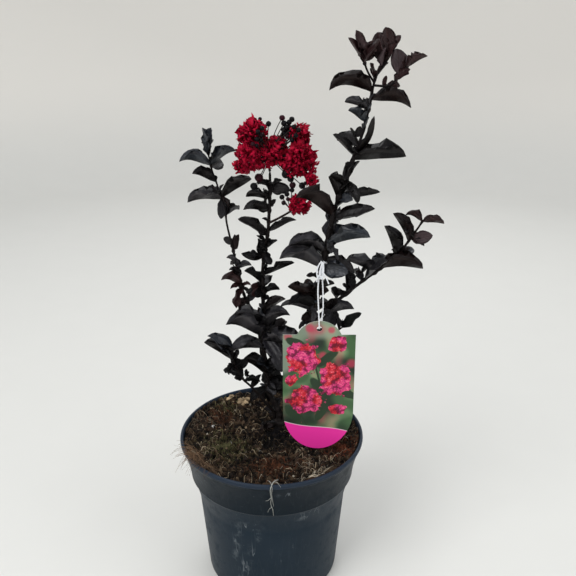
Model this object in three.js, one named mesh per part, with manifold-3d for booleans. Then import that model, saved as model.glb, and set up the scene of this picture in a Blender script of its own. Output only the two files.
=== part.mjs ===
// A young crape myrtle in a nursery pot: stems, leafy shoots, blossom, a hang tag and its string.
// Millimetres, +Z up, the front looks along -Y. The origin is the middle of the pot's flat underside.

import * as THREE from 'three';
import { mergeVertices } from 'three/addons/utils/BufferGeometryUtils.js';
import Module from 'manifold-3d';

const wasm = await Module();
wasm.setup();

// ---- Driving dimensions -------------------------------------------------------------------------

const GAP = 0.3; // left between pieces that touch
const FINEST_FACE = 0.15;

const POT_HEIGHT = 160;
const POT_RIM_R = 95;
const POT_FOOT_R = 69.5;
const POT_WAIST_R = 77; // top of the straight wall, under the shoulder
const POT_WAIST_Z = 91;
const POT_COLLAR_R = 84.5; // foot of the flared collar
const POT_COLLAR_Z = 118;
const POT_LIP_DEPTH = 6;
const POT_LIP_WIDTH = 3;
const POT_WALL = 2;
const POT_FLOOR = 3;
const POT_FOOT_ROUND = 2;
const POT_FACETS = 40;
const DRAIN_COUNT = 8;
const DRAIN_RING_R = 50;
const DRAIN_R = 5;

const SOIL_TOP = 152;
const SOIL_FLAT_R = 60;
const SOIL_EDGE_DROP = 2;

const STUMP_AT = [10.5, 18.5];
const STUMP_TOP = 163;
const STUMP_R = 9.5;
const STUMP_FLARE = 3; // how much wider the root flare is than the stump above it

const STEM_SIDES = 7;
const TWIG_SIDES = 5;

const LEAF_STEPS = 4;
const LEAF_FOOT_WIDTH = 1.4;
const LEAF_TIP_WIDTH = 0.5;
const LEAF_FOOT_THICKNESS = 1.6;
const LEAF_TIP_THICKNESS = 0.6;

// Leaf kinds: how far each half folds up, how far the face leans to the front, width over length.
const TROUGH = { fold: 58, lean: 6, width: 0.66 };
const NARROW = { fold: 55, lean: 4, width: 0.38 };
const FACING = { fold: 18, lean: 58, width: 0.58 };
const HALF = { fold: 38, lean: 30, width: 0.5 };
const SHUT = { fold: 70, lean: 0, width: 0.4 };
const FLAT = { fold: 16, lean: 0, width: 0.66 };
const EXTRA_KINDS = [TROUGH, TROUGH, HALF, FACING];

const ROOM_BETWEEN_MASSES = 7.5; // from a test point of one mass to a test point of another
const ROOM_IN_MASS = 4;
const ROOT_TEST_POINTS = 3; // the row of test points at a leaf's root, which claims no room
const FIRST_SEED = 7;

const FLOWER_POINTS = 12;
const FLOWER_BACK = 0.4; // from the lobe's centre to a flower's back, over the lobe's radius
const FLOWER_THROAT = 0.64; // and to its throat
const FLOWER_SPREAD = 0.82; // share of the flower's room on the lobe that it fills
const WIDEST_FLOWER = 52; // degrees from a flower's axis to its rim, seen from the lobe's centre
const FLOWER_NOTCH = 0.74; // share of the width at the notches between petals
const FLOWER_RUFFLE = 0.07; // rise and fall of the rim, over the lobe's radius
const HUB_R = 2.2; // bud-like middle of a lobe, where its flowers join
const BUD_R = 2.4;
const PEDICEL_R = 0.6;
const GOLDEN_TURN = Math.PI * (3 - Math.sqrt(5));

const TAG_X = 46.5;
const TAG_Y = -32;
const TAG_HALF_WIDTH = 34.5;
const TAG_THICKNESS = 0.8;
const TAG_BOTTOM_Z = 159;
const TAG_ROUND_Z = 202; // where the straight sides turn into the round bottom
const TAG_SHOULDER_Z = 284;
const TAG_TOP_Z = 298;
const TAG_TAB_HALF_WIDTH = 21;
const TAG_HOLE_Z = 290;
const TAG_HOLE_R = 2.6;

const STRING_R = 0.7;
const STRING_LOOP_R = 4.3;
const STRING_LOOP_TILT = 35;
const KNOT_R = 1.9;

const point = (x, y, z) => new THREE.Vector3(x, y, z);

// ---- Stems ----------------------------------------------------------------------------------------

// Whole stems, each with the knots of its route from foot to tip and the radius at those two ends. A stem
// that branches off another one starts from the side of that stem, at its knot `at`.
const STEMS = {
  flower: {
    radii: [2.9, 1.2],
    route: [
      [8, 15.5, STUMP_TOP + GAP], [7.4, 16, 173], [-2, 20, 192], [-7, 20, 230], [-8, 20, 265], [-8, 20, 300],
      [-8, 20, 328], [-6, 20, 347], [-3, 20, 365], [-1, 20, 389], [0, 20, 410], [0, 20, 428],
    ],
  },
  right: {
    radii: [3.4, 0.9],
    route: [
      [15, 14.5, STUMP_TOP + GAP], [15.4, 13.8, 173], [19, 8, 195], [25, 1, 235], [32, -5, 264], [37, -11, 286],
      [42, -16, 308], [46, -21, 335], [51, -24, 364], [56, -25, 390], [60, -25, 408], [68, -24, 429],
      [74, -22, 448], [80, -20, 465], [84, -19, 480], [87, -18, 496], [89, -17, 507], [92, -16, 518],
      [98, -15, 526], [104, -14, 537],
    ],
  },
  left: {
    radii: [2.2, 0.9],
    route: [
      [7.5, 24, STUMP_TOP + GAP], [6.5, 24.6, 173], [-3, 27, 194], [-10, 30, 231], [-15, 34, 268], [-22, 36, 284],
      [-28, 37, 297], [-34, 40, 321], [-39, 42, 347], [-44, 44, 370], [-46, 45, 388], [-53, 45, 412],
      [-58, 45, 429], [-61, 45, 448],
    ],
  },
  lowLeft: {
    radii: [1.4, 0.8],
    route: [
      [2.6, 18.5, STUMP_TOP + GAP], [1.6, 18, 171], [-8, 13, 187], [-20, 9, 205], [-31, 4, 221], [-42, -1, 250],
    ],
  },
  back: {
    radii: [2.2, 0.9],
    route: [
      [14.5, 23, STUMP_TOP + GAP], [14.5, 23.4, 172], [11, 33, 192], [3, 43, 218], [-4, 49, 243], [-8, 51, 268],
      [-9, 52, 288],
    ],
  },
  backRight: {
    from: 'right',
    at: 2.2,
    radii: [1.6, 0.9],
    route: [[32, 17, 216], [44, 30, 233], [53, 40, 250]],
  },
  skirt: {
    from: 'right',
    at: 3.35,
    radii: [1.4, 0.9],
    route: [[38, 4, 252], [50, 6, 261], [72, 10, 273]],
  },
  branch: {
    from: 'right',
    at: 4.75,
    radii: [2, 0.9],
    route: [
      [42, -5, 285], [48, -4, 291], [61, -2, 303], [79, 2, 317], [96, 6, 329], [118, 10, 344], [129, 12, 357],
      [138, 13, 370], [146, 14, 383],
    ],
  },
};

// Bare limbs, each the stretch of a stem between two of its knots.
const LIMBS = {
  stem_flower: { stem: 'flower', span: [0, 2] },
  stem_right: { stem: 'right', span: [0, 5] },
  stem_left: { stem: 'left', span: [0, 5] },
  stem_low_left: { stem: 'lowLeft', span: [0, 2] },
  stem_back: { stem: 'back', span: [0, 3] },
  bough_right: { stem: 'branch', span: [0, 2] },
};

// ---- Masses of foliage ----------------------------------------------------------------------------

// Each mass is a stretch of a stem with its leaves. A leaf is [share along the stretch, compass turn,
// rise, length, bend, kind]: a turn of 0 points right, 90 to the back, 180 left and 270 to the front.
// `extra` is how many seeded leaves fill the back, and their length. `twigs` leave from the stem's middle.
const MASSES = {
  foliage_flower_low: {
    stem: 'flower',
    span: [2, 5],
    extra: [9, 38],
    leaves: [
      [0.06, 185, -35, 24, 50, HALF],
      [0.18, 205, 44, 36, 30, TROUGH],
      [0.46, 196, 12, 37, 30, TROUGH],
      [0.54, 325, 16, 46, 40, TROUGH],
      [0.58, 305, -46, 40, 60, FACING],
      [0.62, 212, 33, 48, 10, TROUGH],
      [0.72, 332, 26, 38, 20, FACING],
      [0.76, 204, 33, 41, 30, TROUGH],
    ],
  },
  foliage_flower_mid: {
    stem: 'flower',
    span: [5, 8],
    extra: [5, 28],
    leaves: [
      [0.06, 190, 12, 18, 40, HALF],
      [0.06, 340, 22, 20, 40, TROUGH],
      [0.1, 240, -5, 15, 40, FACING],
      [0.22, 200, 42, 26, 20, TROUGH],
      [0.28, 350, 27, 36, 10, NARROW],
      [0.68, 192, 6, 26, -50, NARROW],
      [0.9, 175, 35, 12, 20, HALF],
    ],
  },
  foliage_flower_top: {
    stem: 'flower',
    span: [8, 11],
    extra: [4, 26],
    leaves: [
      [0.05, 188, 29, 34, 5, NARROW],
      [0.06, 6, 29, 32, -5, NARROW],
      [0.36, 195, 10, 24, 5, TROUGH],
      [0.52, 190, 10, 22, 40, TROUGH],
      [0.62, 150, 45, 18, 120, HALF],
      [0.66, 350, 8, 20, 50, FACING],
    ],
  },
  foliage_right_low: {
    stem: 'right',
    span: [5, 7],
    extra: [5, 34],
    leaves: [
      [0.1, 200, -30, 13, 40, HALF],
      [0.34, 190, 20, 34, 30, SHUT],
      [0.44, 214, 25, 32, 20, TROUGH],
      [0.52, 350, 20, 14, 10, TROUGH],
      [0.61, 198, 30, 32, 10, TROUGH],
      [0.82, 340, 28, 19, 20, TROUGH],
    ],
  },
  foliage_right_mid: {
    stem: 'right',
    span: [7, 10],
    extra: [6, 36],
    leaves: [
      [0.13, 200, 23, 44, 20, TROUGH],
      [0.11, 325, -10, 30, 20, FACING],
      [0.22, 352, -8, 30, 30, HALF],
      [0.31, 192, 16, 37, 40, TROUGH],
      [0.32, 330, 45, 16, 20, HALF],
      [0.39, 346, 12, 42, 30, TROUGH],
      [0.74, 340, 20, 41, -20, HALF],
      [0.76, 200, 37, 45, 20, TROUGH],
    ],
  },
  foliage_right_high: {
    stem: 'right',
    span: [10, 13],
    extra: [5, 34],
    leaves: [
      [0.06, 200, 66, 24, 10, TROUGH],
      [0.08, 320, 10, 16, 40, FACING],
      [0.1, 330, 60, 21, 20, HALF],
      [0.12, 355, 8, 36, -20, SHUT],
      [0.34, 20, 55, 22, 10, SHUT],
      [0.4, 325, -48, 25, 30, TROUGH],
      [0.64, 350, 5, 46, 15, TROUGH],
      [0.7, 192, 40, 27, 10, HALF],
      [0.8, 335, 58, 30, -50, NARROW],
    ],
  },
  foliage_right_upper: {
    stem: 'right',
    span: [13, 16],
    extra: [4, 30],
    leaves: [
      [0.3, 205, 30, 22, 5, TROUGH],
      [0.5, 190, 20, 23, 40, TROUGH],
      [0.7, 345, -6, 36, 20, TROUGH],
      [0.88, 190, 9, 38, 40, TROUGH],
    ],
  },
  foliage_right_top: {
    stem: 'right',
    span: [16, 19],
    extra: [3, 22],
    leaves: [
      [0.45, 225, 20, 14, 40, FLAT],
      [0.7, 240, -5, 32, 70, FLAT],
      [0.75, 285, 25, 26, 80, FLAT],
      [0.92, 15, 54, 20, 10, FACING],
      [0.97, 128, 78, 20, 5, FACING],
    ],
    twigs: [
      {
        route: [[90, -17, 511], [84, -19, 520], [80, -20, 529]],
        radii: [1, 0.8],
        leaves: [
          [0.8, 60, 60, 18, 10, HALF],
          [0.85, 195, 50, 24, 5, SHUT],
          [0.95, 165, 72, 26, 10, FACING],
        ],
      },
      {
        route: [[89.5, -17, 509], [102, -20, 509], [110, -21, 516], [118, -21, 528]],
        radii: [1.1, 0.8],
        leaves: [
          [0.45, 150, 60, 11, 10, FACING],
          [0.5, 20, 30, 10, 10, FACING],
          [0.6, 350, 30, 21, 10, TROUGH],
          [0.85, 285, 25, 24, 80, FLAT],
          [0.9, 10, 75, 13, 5, SHUT],
          [0.97, 355, 10, 23, 15, TROUGH],
        ],
      },
    ],
  },
  foliage_branch_low: {
    stem: 'branch',
    span: [2, 4],
    extra: [3, 26],
    leaves: [
      [0.06, 350, 20, 34, 10, TROUGH],
      [0.4, 330, -65, 24, 10, NARROW],
      [0.55, 190, -10, 12, 20, FACING],
      [0.84, 170, 86, 25, 10, HALF],
    ],
  },
  foliage_branch_tip: {
    stem: 'branch',
    span: [4, 9],
    extra: [6, 30],
    leaves: [
      [0.24, 198, 28, 34, 30, TROUGH],
      [0.36, 350, -9, 38, 35, TROUGH],
      [0.52, 150, 60, 27, 10, TROUGH],
      [0.72, 340, 18, 22, -10, FACING],
      [0.74, 330, -18, 14, 10, HALF],
      [0.84, 160, 36, 26, 10, TROUGH],
      [0.97, 170, 30, 19, 40, TROUGH],
      [0.97, 350, -5, 21, 30, TROUGH],
    ],
  },
  foliage_right_skirt: {
    stem: 'skirt',
    span: [0, 3],
    extra: [3, 28],
    leaves: [
      [0.8, 60, 50, 30, 40, TROUGH],
      [0.95, 350, 42, 28, 10, FACING],
    ],
  },
  foliage_left_mid: {
    stem: 'left',
    span: [5, 9],
    extra: [6, 24],
    leaves: [
      [0.27, 215, -55, 17, -20, TROUGH],
      [0.3, 200, 32, 27, 40, TROUGH],
      [0.3, 215, 25, 15, 40, HALF],
      [0.42, 200, 42, 15, 50, TROUGH],
      [0.5, 340, 20, 17, 10, TROUGH],
      [0.54, 195, 42, 20, 50, TROUGH],
      [0.7, 30, 78, 17, 5, SHUT],
      [0.7, 150, 84, 18, 5, HALF],
    ],
  },
  foliage_left_top: {
    stem: 'left',
    span: [9, 13],
    extra: [5, 28],
    leaves: [
      [0.325, 195, 2, 35, 35, TROUGH],
      [0.34, 250, -80, 19, 20, FACING],
      [0.34, 345, 27, 36, 20, TROUGH],
      [0.355, 320, -40, 13, 20, TROUGH],
      [0.505, 215, 30, 30, 5, TROUGH],
      [0.745, 15, 28, 28, 20, TROUGH],
      [0.745, 200, 18, 30, 20, TROUGH],
      [0.91, 20, 78, 24, -10, SHUT],
      [0.91, 200, 82, 25, -10, HALF],
    ],
  },
  foliage_low_left: {
    stem: 'lowLeft',
    span: [2, 5],
    extra: [3, 22],
    leaves: [
      [0.33, 30, 50, 17, 30, HALF],
      [0.55, 350, 15, 16, 10, TROUGH],
      [0.74, 70, 60, 14, 10, HALF],
      [0.88, 215, -65, 13, 10, TROUGH],
      [0.93, 195, 36, 29, 10, TROUGH],
      [0.97, 200, 50, 28, 20, TROUGH],
    ],
  },
  foliage_back: { stem: 'back', span: [3, 6], extra: [13, 36], around: true, leaves: [] },
  foliage_back_right: { stem: 'backRight', span: [0, 3], extra: [10, 30], around: true, leaves: [] },
};

// ---- Blossom --------------------------------------------------------------------------------------

// Lobes of flowers are [centre, radius, number of flowers]. They stand on twigs from the stalk's tip.
const BLOSSOM = {
  blossom_panicle: {
    route: [[0, 20, 428.3], [-1, 20, 436], [-1, 20, 443]],
    lobes: [
      [[-16, 18, 465], 15, 8],
      [[-19, 12, 439], 15.5, 8],
      [[3, 22, 448], 13.5, 7],
      [[27, 26, 462], 11, 6],
      [[30, 15, 438], 15.5, 8],
      [[42, 9, 421], 9, 4],
    ],
    buds: [
      [-1, 20, 472], [9, 25, 474], [15, 26, 476], [8, 24, 466], [15, 25, 468], [11, 26, 460],
      [-12, 14, 424], [16, 20, 424], [31, 12, 417],
    ],
  },
  blossom_low: {
    from: 'flower',
    at: 8.55,
    route: [[7, 14, 384], [14, 10, 389], [20, 9, 393]],
    lobes: [[[27, 8, 400], 11, 6]],
    buds: [[13, 12, 400], [16, 13, 408], [13, 13, 392]],
  },
};

// ---- Seeded numbers -------------------------------------------------------------------------------

// A run of numbers from 0 up to 1 that is the same for the same seed.
function seeded(seed) {
  let state = seed >>> 0;
  return () => {
    state = (Math.imul(state, 1664525) + 1013904223) >>> 0;
    return state / 4294967296;
  };
}

// ---- Solids ---------------------------------------------------------------------------------------

// Closed solid of a geometry, with only its positions and with its shared vertices merged.
function solid(geometry) {
  const bare = geometry.clone();
  for (const name of Object.keys(bare.attributes)) {
    if (name !== 'position') bare.deleteAttribute(name);
  }
  const merged = mergeVertices(bare, 1e-4);
  return new wasm.Manifold(
    new wasm.Mesh({
      numProp: 3,
      vertProperties: new Float32Array(merged.attributes.position.array),
      triVerts: new Uint32Array(merged.index.array),
    }),
  );
}

// Pieces fused into one closed body. What doesn't hang together with it is a loose scrap, and faces finer
// than FINEST_FACE are merged.
function oneBody(pieces) {
  const bodies = pieces.reduce((whole, piece) => whole.add(piece)).decompose();
  const largest = bodies.reduce((best, body) => (body.volume() > best.volume() ? body : best));
  return largest.asOriginal().simplify(FINEST_FACE);
}

function geometryOf(whole) {
  const mesh = whole.getMesh();
  const geometry = new THREE.BufferGeometry();
  geometry.setAttribute('position', new THREE.BufferAttribute(new Float32Array(mesh.vertProperties), 3));
  geometry.setIndex(new THREE.BufferAttribute(new Uint32Array(mesh.triVerts), 1));
  geometry.computeVertexNormals();
  return geometry;
}

// A round bar with `sides` sides whose every vertex is put by `place(share, x, z)`, where share runs
// from 0 at the foot to 1 at the tip and x, z lie on the unit circle of the bar's section.
function shapedBar(sides, steps, place) {
  const bar = new THREE.CylinderGeometry(1, 1, 1, sides, steps);
  const spots = bar.attributes.position;
  for (let i = 0; i < spots.count; i += 1) {
    const spot = place(spots.getY(i) + 0.5, spots.getX(i), spots.getZ(i));
    spots.setXYZ(i, spot.x, spot.y, spot.z);
  }
  return solid(bar);
}

function curveThrough(route) {
  return new THREE.CatmullRomCurve3(route.map(([x, y, z]) => point(x, y, z)), false, 'catmullrom', 0.5);
}

// A limb along a path, with an optional flare at its foot.
function limb({ placeAt, tangentAt, radiusAt }, sides, steps, flare = 0) {
  const back = point(0, 1, 0);
  return shapedBar(sides, steps, (share, x, z) => {
    const along = tangentAt(share);
    const side = along.clone().cross(back).normalize();
    const other = side.clone().cross(along);
    const radius = radiusAt(share) + flare * (1 - share) ** 3;
    return placeAt(share).addScaledVector(side, x * radius).addScaledVector(other, z * radius);
  });
}

// Path through a route of knots that thins evenly from one radius to the other.
function taperedPath(route, [footR, tipR]) {
  const curve = curveThrough(route);
  return {
    placeAt: (share) => curve.getPoint(share),
    tangentAt: (share) => curve.getTangent(share).normalize(),
    radiusAt: (share) => footR + (tipR - footR) * share,
  };
}

// ---- Leaves ---------------------------------------------------------------------------------------

const radians = THREE.MathUtils.degToRad;

// Half the blade's width at a share of its length: narrow at the foot, widest before the middle, pointed.
function halfWidth(leaf, share) {
  const blade = 0.5 * leaf.kind.width * leaf.length * Math.max(0, Math.sin(Math.PI * share ** 0.88)) ** 0.75;
  const end = 0.5 * (LEAF_FOOT_WIDTH + (LEAF_TIP_WIDTH - LEAF_FOOT_WIDTH) * share);
  return Math.max(blade, end);
}

// Place of a leaf at a share of its length. The midrib bends evenly in an upright plane, and the blade's
// halves fold up from it, then lean together towards the front.
function leafFrame(foot, leaf, share) {
  const bend = radians(leaf.bend);
  const start = radians(leaf.rise) + bend / 2;
  const here = start - bend * share;
  const out = (leaf.length * (Math.sin(start) - Math.sin(here))) / bend;
  const up = (leaf.length * (Math.cos(here) - Math.cos(start))) / bend;
  const heading = point(Math.cos(radians(leaf.turn)), Math.sin(radians(leaf.turn)), 0);
  const middle = foot.clone().addScaledVector(heading, out);
  middle.z += up;
  const along = heading.clone().multiplyScalar(Math.cos(here));
  along.z = Math.sin(here);
  const level = point(0, 0, 1).cross(heading);
  const upright = along.clone().cross(level);
  const lean = radians(leaf.kind.lean) * (heading.x >= 0 ? 1 : -1);
  const across = level.clone().multiplyScalar(Math.cos(lean)).addScaledVector(upright, Math.sin(lean));
  const face = upright.multiplyScalar(Math.cos(lean)).addScaledVector(level, -Math.sin(lean));
  return { middle, across, face };
}

// A point of the blade: side is -1 at one margin, 0 at the midrib and 1 at the other margin.
function bladePoint(foot, leaf, share, side) {
  const { middle, across, face } = leafFrame(foot, leaf, share);
  const fold = radians(leaf.kind.fold);
  const reach = halfWidth(leaf, share) * side;
  return middle.addScaledVector(across, reach * Math.cos(fold)).addScaledVector(face, Math.abs(reach) * Math.sin(fold));
}

// A closed blade with four corners to its section: two sharp margins, and the midrib above and below.
function leafSolid(foot, leaf) {
  return shapedBar(4, LEAF_STEPS, (share, x, z) => {
    const thickness = LEAF_FOOT_THICKNESS + (LEAF_TIP_THICKNESS - LEAF_FOOT_THICKNESS) * share;
    const { face } = leafFrame(foot, leaf, share);
    return bladePoint(foot, leaf, share, x).addScaledVector(face, (-z * thickness) / 2);
  });
}

// Points that stand for a leaf when its room is tested.
function testPoints(foot, leaf) {
  const points = [];
  for (const share of [0.3, 0.5, 0.7, 0.9, 1]) {
    for (const side of [-1, 0, 1]) points.push(bladePoint(foot, leaf, share, side));
  }
  return points;
}

function leafOf([at, turn, rise, length, bend, kind]) {
  return { at, turn, rise, length, bend, kind };
}

// ---- Growing the plant ------------------------------------------------------------------------------

// First knot of a stem that branches off another: on the line from that stem's axis to the next knot,
// as far out as leaves its cut end clear of the other's surface.
function sideFoot(parent, at, target, radius) {
  const share = at / parent.segments;
  const axis = parent.placeAt(share);
  const out = point(...target).sub(axis).normalize();
  const lengthwise = Math.abs(out.dot(parent.tangentAt(share)));
  const slope = Math.sqrt(1 - lengthwise ** 2);
  return axis.addScaledVector(out, (parent.radiusAt(share) + GAP + radius * lengthwise) / slope).toArray();
}

// Whole stem through its knots. It thins evenly with its height.
const grownStems = {};

function growStem({ from, at, route, radii: [footR, tipR] }) {
  const knots = from ? [sideFoot(grownStems[from], at, route[0], footR), ...route] : route;
  const curve = curveThrough(knots);
  const low = knots[0][2];
  const high = knots.at(-1)[2];
  return {
    knots,
    segments: knots.length - 1,
    placeAt: (share) => curve.getPoint(share),
    tangentAt: (share) => curve.getTangent(share).normalize(),
    radiusAt: (share) => footR + ((tipR - footR) * (curve.getPoint(share).z - low)) / (high - low),
  };
}

for (const [name, stem] of Object.entries(STEMS)) grownStems[name] = growStem(stem);

// Stretch of a stem from one knot to another. It starts clear of the stretch below it.
function stretchOf({ stem: name, span: [first, last] }) {
  const { knots, segments, placeAt, tangentAt, radiusAt } = grownStems[name];
  const speed = first > 0 ? point(...knots[first + 1]).distanceTo(point(...knots[first - 1])) / 2 : Infinity;
  const start = first + GAP / speed;
  const onStem = (share) => (start + (last - start) * share) / segments;
  return {
    placeAt: (share) => placeAt(onStem(share)),
    tangentAt: (share) => tangentAt(onStem(share)),
    radiusAt: (share) => radiusAt(onStem(share)),
  };
}

const taken = []; // every test point so far, with the piece that it belongs to

function claim(points, owner) {
  for (const spot of points) taken.push({ spot, owner });
}

function claimPath(path, count, owner) {
  for (let k = 0; k <= count; k += 1) claim([path.placeAt(k / count)], owner);
}

function hasRoom(points, owner) {
  return taken.every(({ spot, owner: other }) => {
    const room = other === owner ? ROOM_IN_MASS : ROOM_BETWEEN_MASSES;
    return points.every((candidate) => candidate.distanceTo(spot) > room);
  });
}

// Seeded leaves at the back of a mass, or all round it. One without room turns aside, and at last is
// left out.
function extraLeaves({ path, extra: [count, length], around }, owner, seed) {
  const next = seeded(seed);
  const grown = [];
  for (let k = 0; k < count; k += 1) {
    const leaf = {
      at: 0.08 + (0.88 * (k + next())) / count,
      turn: around ? 360 * next() : 35 + 110 * next(),
      rise: 5 + 40 * next(),
      length: length * (0.65 + 0.35 * next()),
      bend: 10 + 40 * next(),
      kind: EXTRA_KINDS[Math.floor(EXTRA_KINDS.length * next())],
    };
    const foot = path.placeAt(leaf.at);
    for (const aside of [0, 25, -25, 50]) {
      const turned = { ...leaf, turn: leaf.turn + aside };
      const points = testPoints(foot, turned);
      if (hasRoom(points, owner)) {
        claim(points.slice(ROOT_TEST_POINTS), owner);
        grown.push(turned);
        break;
      }
    }
  }
  return grown;
}

// ---- Blossom --------------------------------------------------------------------------------------

// A frilled flower on its pedicel. It opens from a pointed back to a rim that runs in and out between
// petals and up and down, round a hollow throat.
function flowerSolid(centre, facing, radius, spread, twist) {
  const tilt = new THREE.Quaternion().setFromUnitVectors(point(0, 1, 0), facing);
  const trumpet = new THREE.SphereGeometry(1, FLOWER_POINTS, 2);
  const spots = trumpet.attributes.position;
  for (let i = 0; i < spots.count; i += 1) {
    const spot = point(spots.getX(i), spots.getY(i), spots.getZ(i));
    if (Math.abs(spot.y) < 0.5) {
      const turn = Math.atan2(spot.z, spot.x) / (2 * Math.PI);
      const corner = (Math.round(turn * FLOWER_POINTS) + FLOWER_POINTS) % FLOWER_POINTS;
      const width = radius * Math.sin(spread) * (corner % 2 === 0 ? 1 : FLOWER_NOTCH);
      const wave = radius * FLOWER_RUFFLE * Math.sin(corner * 2.1 + twist);
      spot.set(spot.x * width, radius * Math.cos(spread) + wave, spot.z * width);
    } else {
      spot.set(0, radius * (spot.y > 0 ? FLOWER_THROAT : FLOWER_BACK), 0);
    }
    spot.applyQuaternion(tilt).add(centre);
    spots.setXYZ(i, spot.x, spot.y, spot.z);
  }
  return solid(trumpet);
}

// A straight three-sided pedicel between two points.
function pedicel(from, to) {
  return limb(taperedPath([from.toArray(), to.toArray()], [PEDICEL_R, PEDICEL_R]), 3, 1);
}

function ball(centre, radius) {
  return solid(new THREE.IcosahedronGeometry(radius, 0).translate(...centre.toArray()));
}

// Lobes of flowers on twigs from the stalk's tip. In a lobe the flowers are spread by the golden angle,
// and each one faces outwards.
function blossomSolid({ route, lobes, buds }) {
  const stalk = taperedPath(route, [1.2, 1]);
  const tip = stalk.placeAt(1);
  const pieces = [limb(stalk, TWIG_SIDES, 4)];
  for (const [spot, radius, count] of lobes) {
    const centre = point(...spot);
    const room = THREE.MathUtils.radToDeg(Math.acos(1 - 2 / count)) * FLOWER_SPREAD;
    const spread = radians(Math.min(room, WIDEST_FLOWER));
    pieces.push(pedicel(tip, centre), ball(centre, HUB_R));
    for (let k = 0; k < count; k += 1) {
      const height = 1 - (2 * (k + 0.5)) / count;
      const turn = k * GOLDEN_TURN;
      const level = Math.sqrt(1 - height * height);
      const facing = point(level * Math.cos(turn), level * Math.sin(turn), height);
      const back = centre.clone().addScaledVector(facing, radius * (FLOWER_BACK + 0.1));
      pieces.push(pedicel(centre, back), flowerSolid(centre, facing, radius, spread, k));
    }
  }
  for (const spot of buds) pieces.push(pedicel(tip, point(...spot)), ball(point(...spot), BUD_R));
  return oneBody(pieces);
}

// ---- Pot and soil ---------------------------------------------------------------------------------

// Points of a path as [radius, height], turned about the upright axis. The path runs anticlockwise.
function turnedSolid(path, divisions) {
  const lathe = new THREE.LatheGeometry(path.getPoints(divisions), POT_FACETS);
  return solid(lathe.rotateX(Math.PI / 2));
}

// Inner face of the wall, as the radius and height of its turning points, from the top down.
function innerTurns(inset) {
  const wall = POT_WALL + inset;
  return {
    lip: [POT_RIM_R - POT_LIP_WIDTH - inset, POT_HEIGHT - POT_LIP_DEPTH],
    collar: [POT_COLLAR_R - wall, POT_COLLAR_Z],
    waist: [POT_WAIST_R - wall, POT_WAIST_Z],
    foot: [POT_FOOT_R - wall, POT_FLOOR + inset],
  };
}

function potSolid() {
  const inner = innerTurns(0);
  const path = new THREE.Path();
  path.moveTo(0, 0);
  path.lineTo(POT_FOOT_R - POT_FOOT_ROUND, 0);
  path.lineTo(POT_FOOT_R, POT_FOOT_ROUND);
  path.lineTo(POT_WAIST_R, POT_WAIST_Z);
  path.quadraticCurveTo(POT_WAIST_R + 2, POT_WAIST_Z + 12, POT_COLLAR_R, POT_COLLAR_Z);
  path.quadraticCurveTo(POT_COLLAR_R + 2, POT_COLLAR_Z + 18, POT_RIM_R, POT_HEIGHT - POT_LIP_DEPTH);
  path.lineTo(POT_RIM_R, POT_HEIGHT - 1);
  path.lineTo(POT_RIM_R - 1, POT_HEIGHT);
  path.lineTo(inner.lip[0] + 1, POT_HEIGHT);
  path.lineTo(inner.lip[0], POT_HEIGHT - 1);
  path.lineTo(...inner.lip);
  path.quadraticCurveTo(inner.collar[0] + 2, inner.collar[1] + 18, ...inner.collar);
  path.quadraticCurveTo(inner.waist[0] + 2, inner.waist[1] + 12, ...inner.waist);
  path.lineTo(...inner.foot);
  path.lineTo(0, POT_FLOOR);
  path.lineTo(0, 0);
  let pot = turnedSolid(path, 4);
  for (let k = 0; k < DRAIN_COUNT; k += 1) {
    const angle = (2 * Math.PI * k) / DRAIN_COUNT;
    const drain = new THREE.CylinderGeometry(DRAIN_R, DRAIN_R, 4 * POT_FLOOR, 12).rotateX(Math.PI / 2);
    drain.translate(DRAIN_RING_R * Math.cos(angle), DRAIN_RING_R * Math.sin(angle), 0);
    pot = pot.subtract(solid(drain));
  }
  return pot;
}

function soilSolid() {
  const inner = innerTurns(GAP);
  const edge = SOIL_TOP - SOIL_EDGE_DROP;
  const path = new THREE.Path();
  path.moveTo(0, inner.foot[1]);
  path.lineTo(...inner.foot);
  path.lineTo(...inner.waist);
  path.quadraticCurveTo(inner.waist[0] + 2, inner.waist[1] + 12, ...inner.collar);
  path.quadraticCurveTo(inner.collar[0] + 2, inner.collar[1] + 18, inner.lip[0] - 4, edge);
  path.lineTo(SOIL_FLAT_R, SOIL_TOP);
  path.lineTo(0, SOIL_TOP);
  path.lineTo(0, inner.foot[1]);
  return turnedSolid(path, 4);
}

// ---- Tag and string -------------------------------------------------------------------------------

// A flat tag with a round bottom, square shoulders and an arched tab with a hole, facing the front.
function tagSolid() {
  const tabRise = TAG_TOP_Z - TAG_SHOULDER_Z;
  const tabR = (TAG_TAB_HALF_WIDTH ** 2 + tabRise ** 2) / (2 * tabRise);
  const tabStart = Math.asin(TAG_TAB_HALF_WIDTH / tabR);
  const up = Math.PI / 2;
  const outline = new THREE.Shape();
  outline.moveTo(-TAG_HALF_WIDTH, TAG_SHOULDER_Z);
  outline.lineTo(-TAG_HALF_WIDTH, TAG_ROUND_Z);
  outline.absellipse(0, TAG_ROUND_Z, TAG_HALF_WIDTH, TAG_ROUND_Z - TAG_BOTTOM_Z, Math.PI, 2 * Math.PI);
  outline.lineTo(TAG_HALF_WIDTH, TAG_SHOULDER_Z);
  outline.lineTo(TAG_TAB_HALF_WIDTH, TAG_SHOULDER_Z);
  outline.absarc(0, TAG_TOP_Z - tabR, tabR, up - tabStart, up + tabStart);
  const hole = new THREE.Path();
  hole.absarc(0, TAG_HOLE_Z, TAG_HOLE_R, 0, 2 * Math.PI, true);
  outline.holes.push(hole);
  const card = new THREE.ExtrudeGeometry(outline, { depth: TAG_THICKNESS, bevelEnabled: false, curveSegments: 12 });
  card.rotateX(Math.PI / 2);
  card.translate(TAG_X, TAG_Y + TAG_THICKNESS / 2, 0);
  return solid(card);
}

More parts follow.
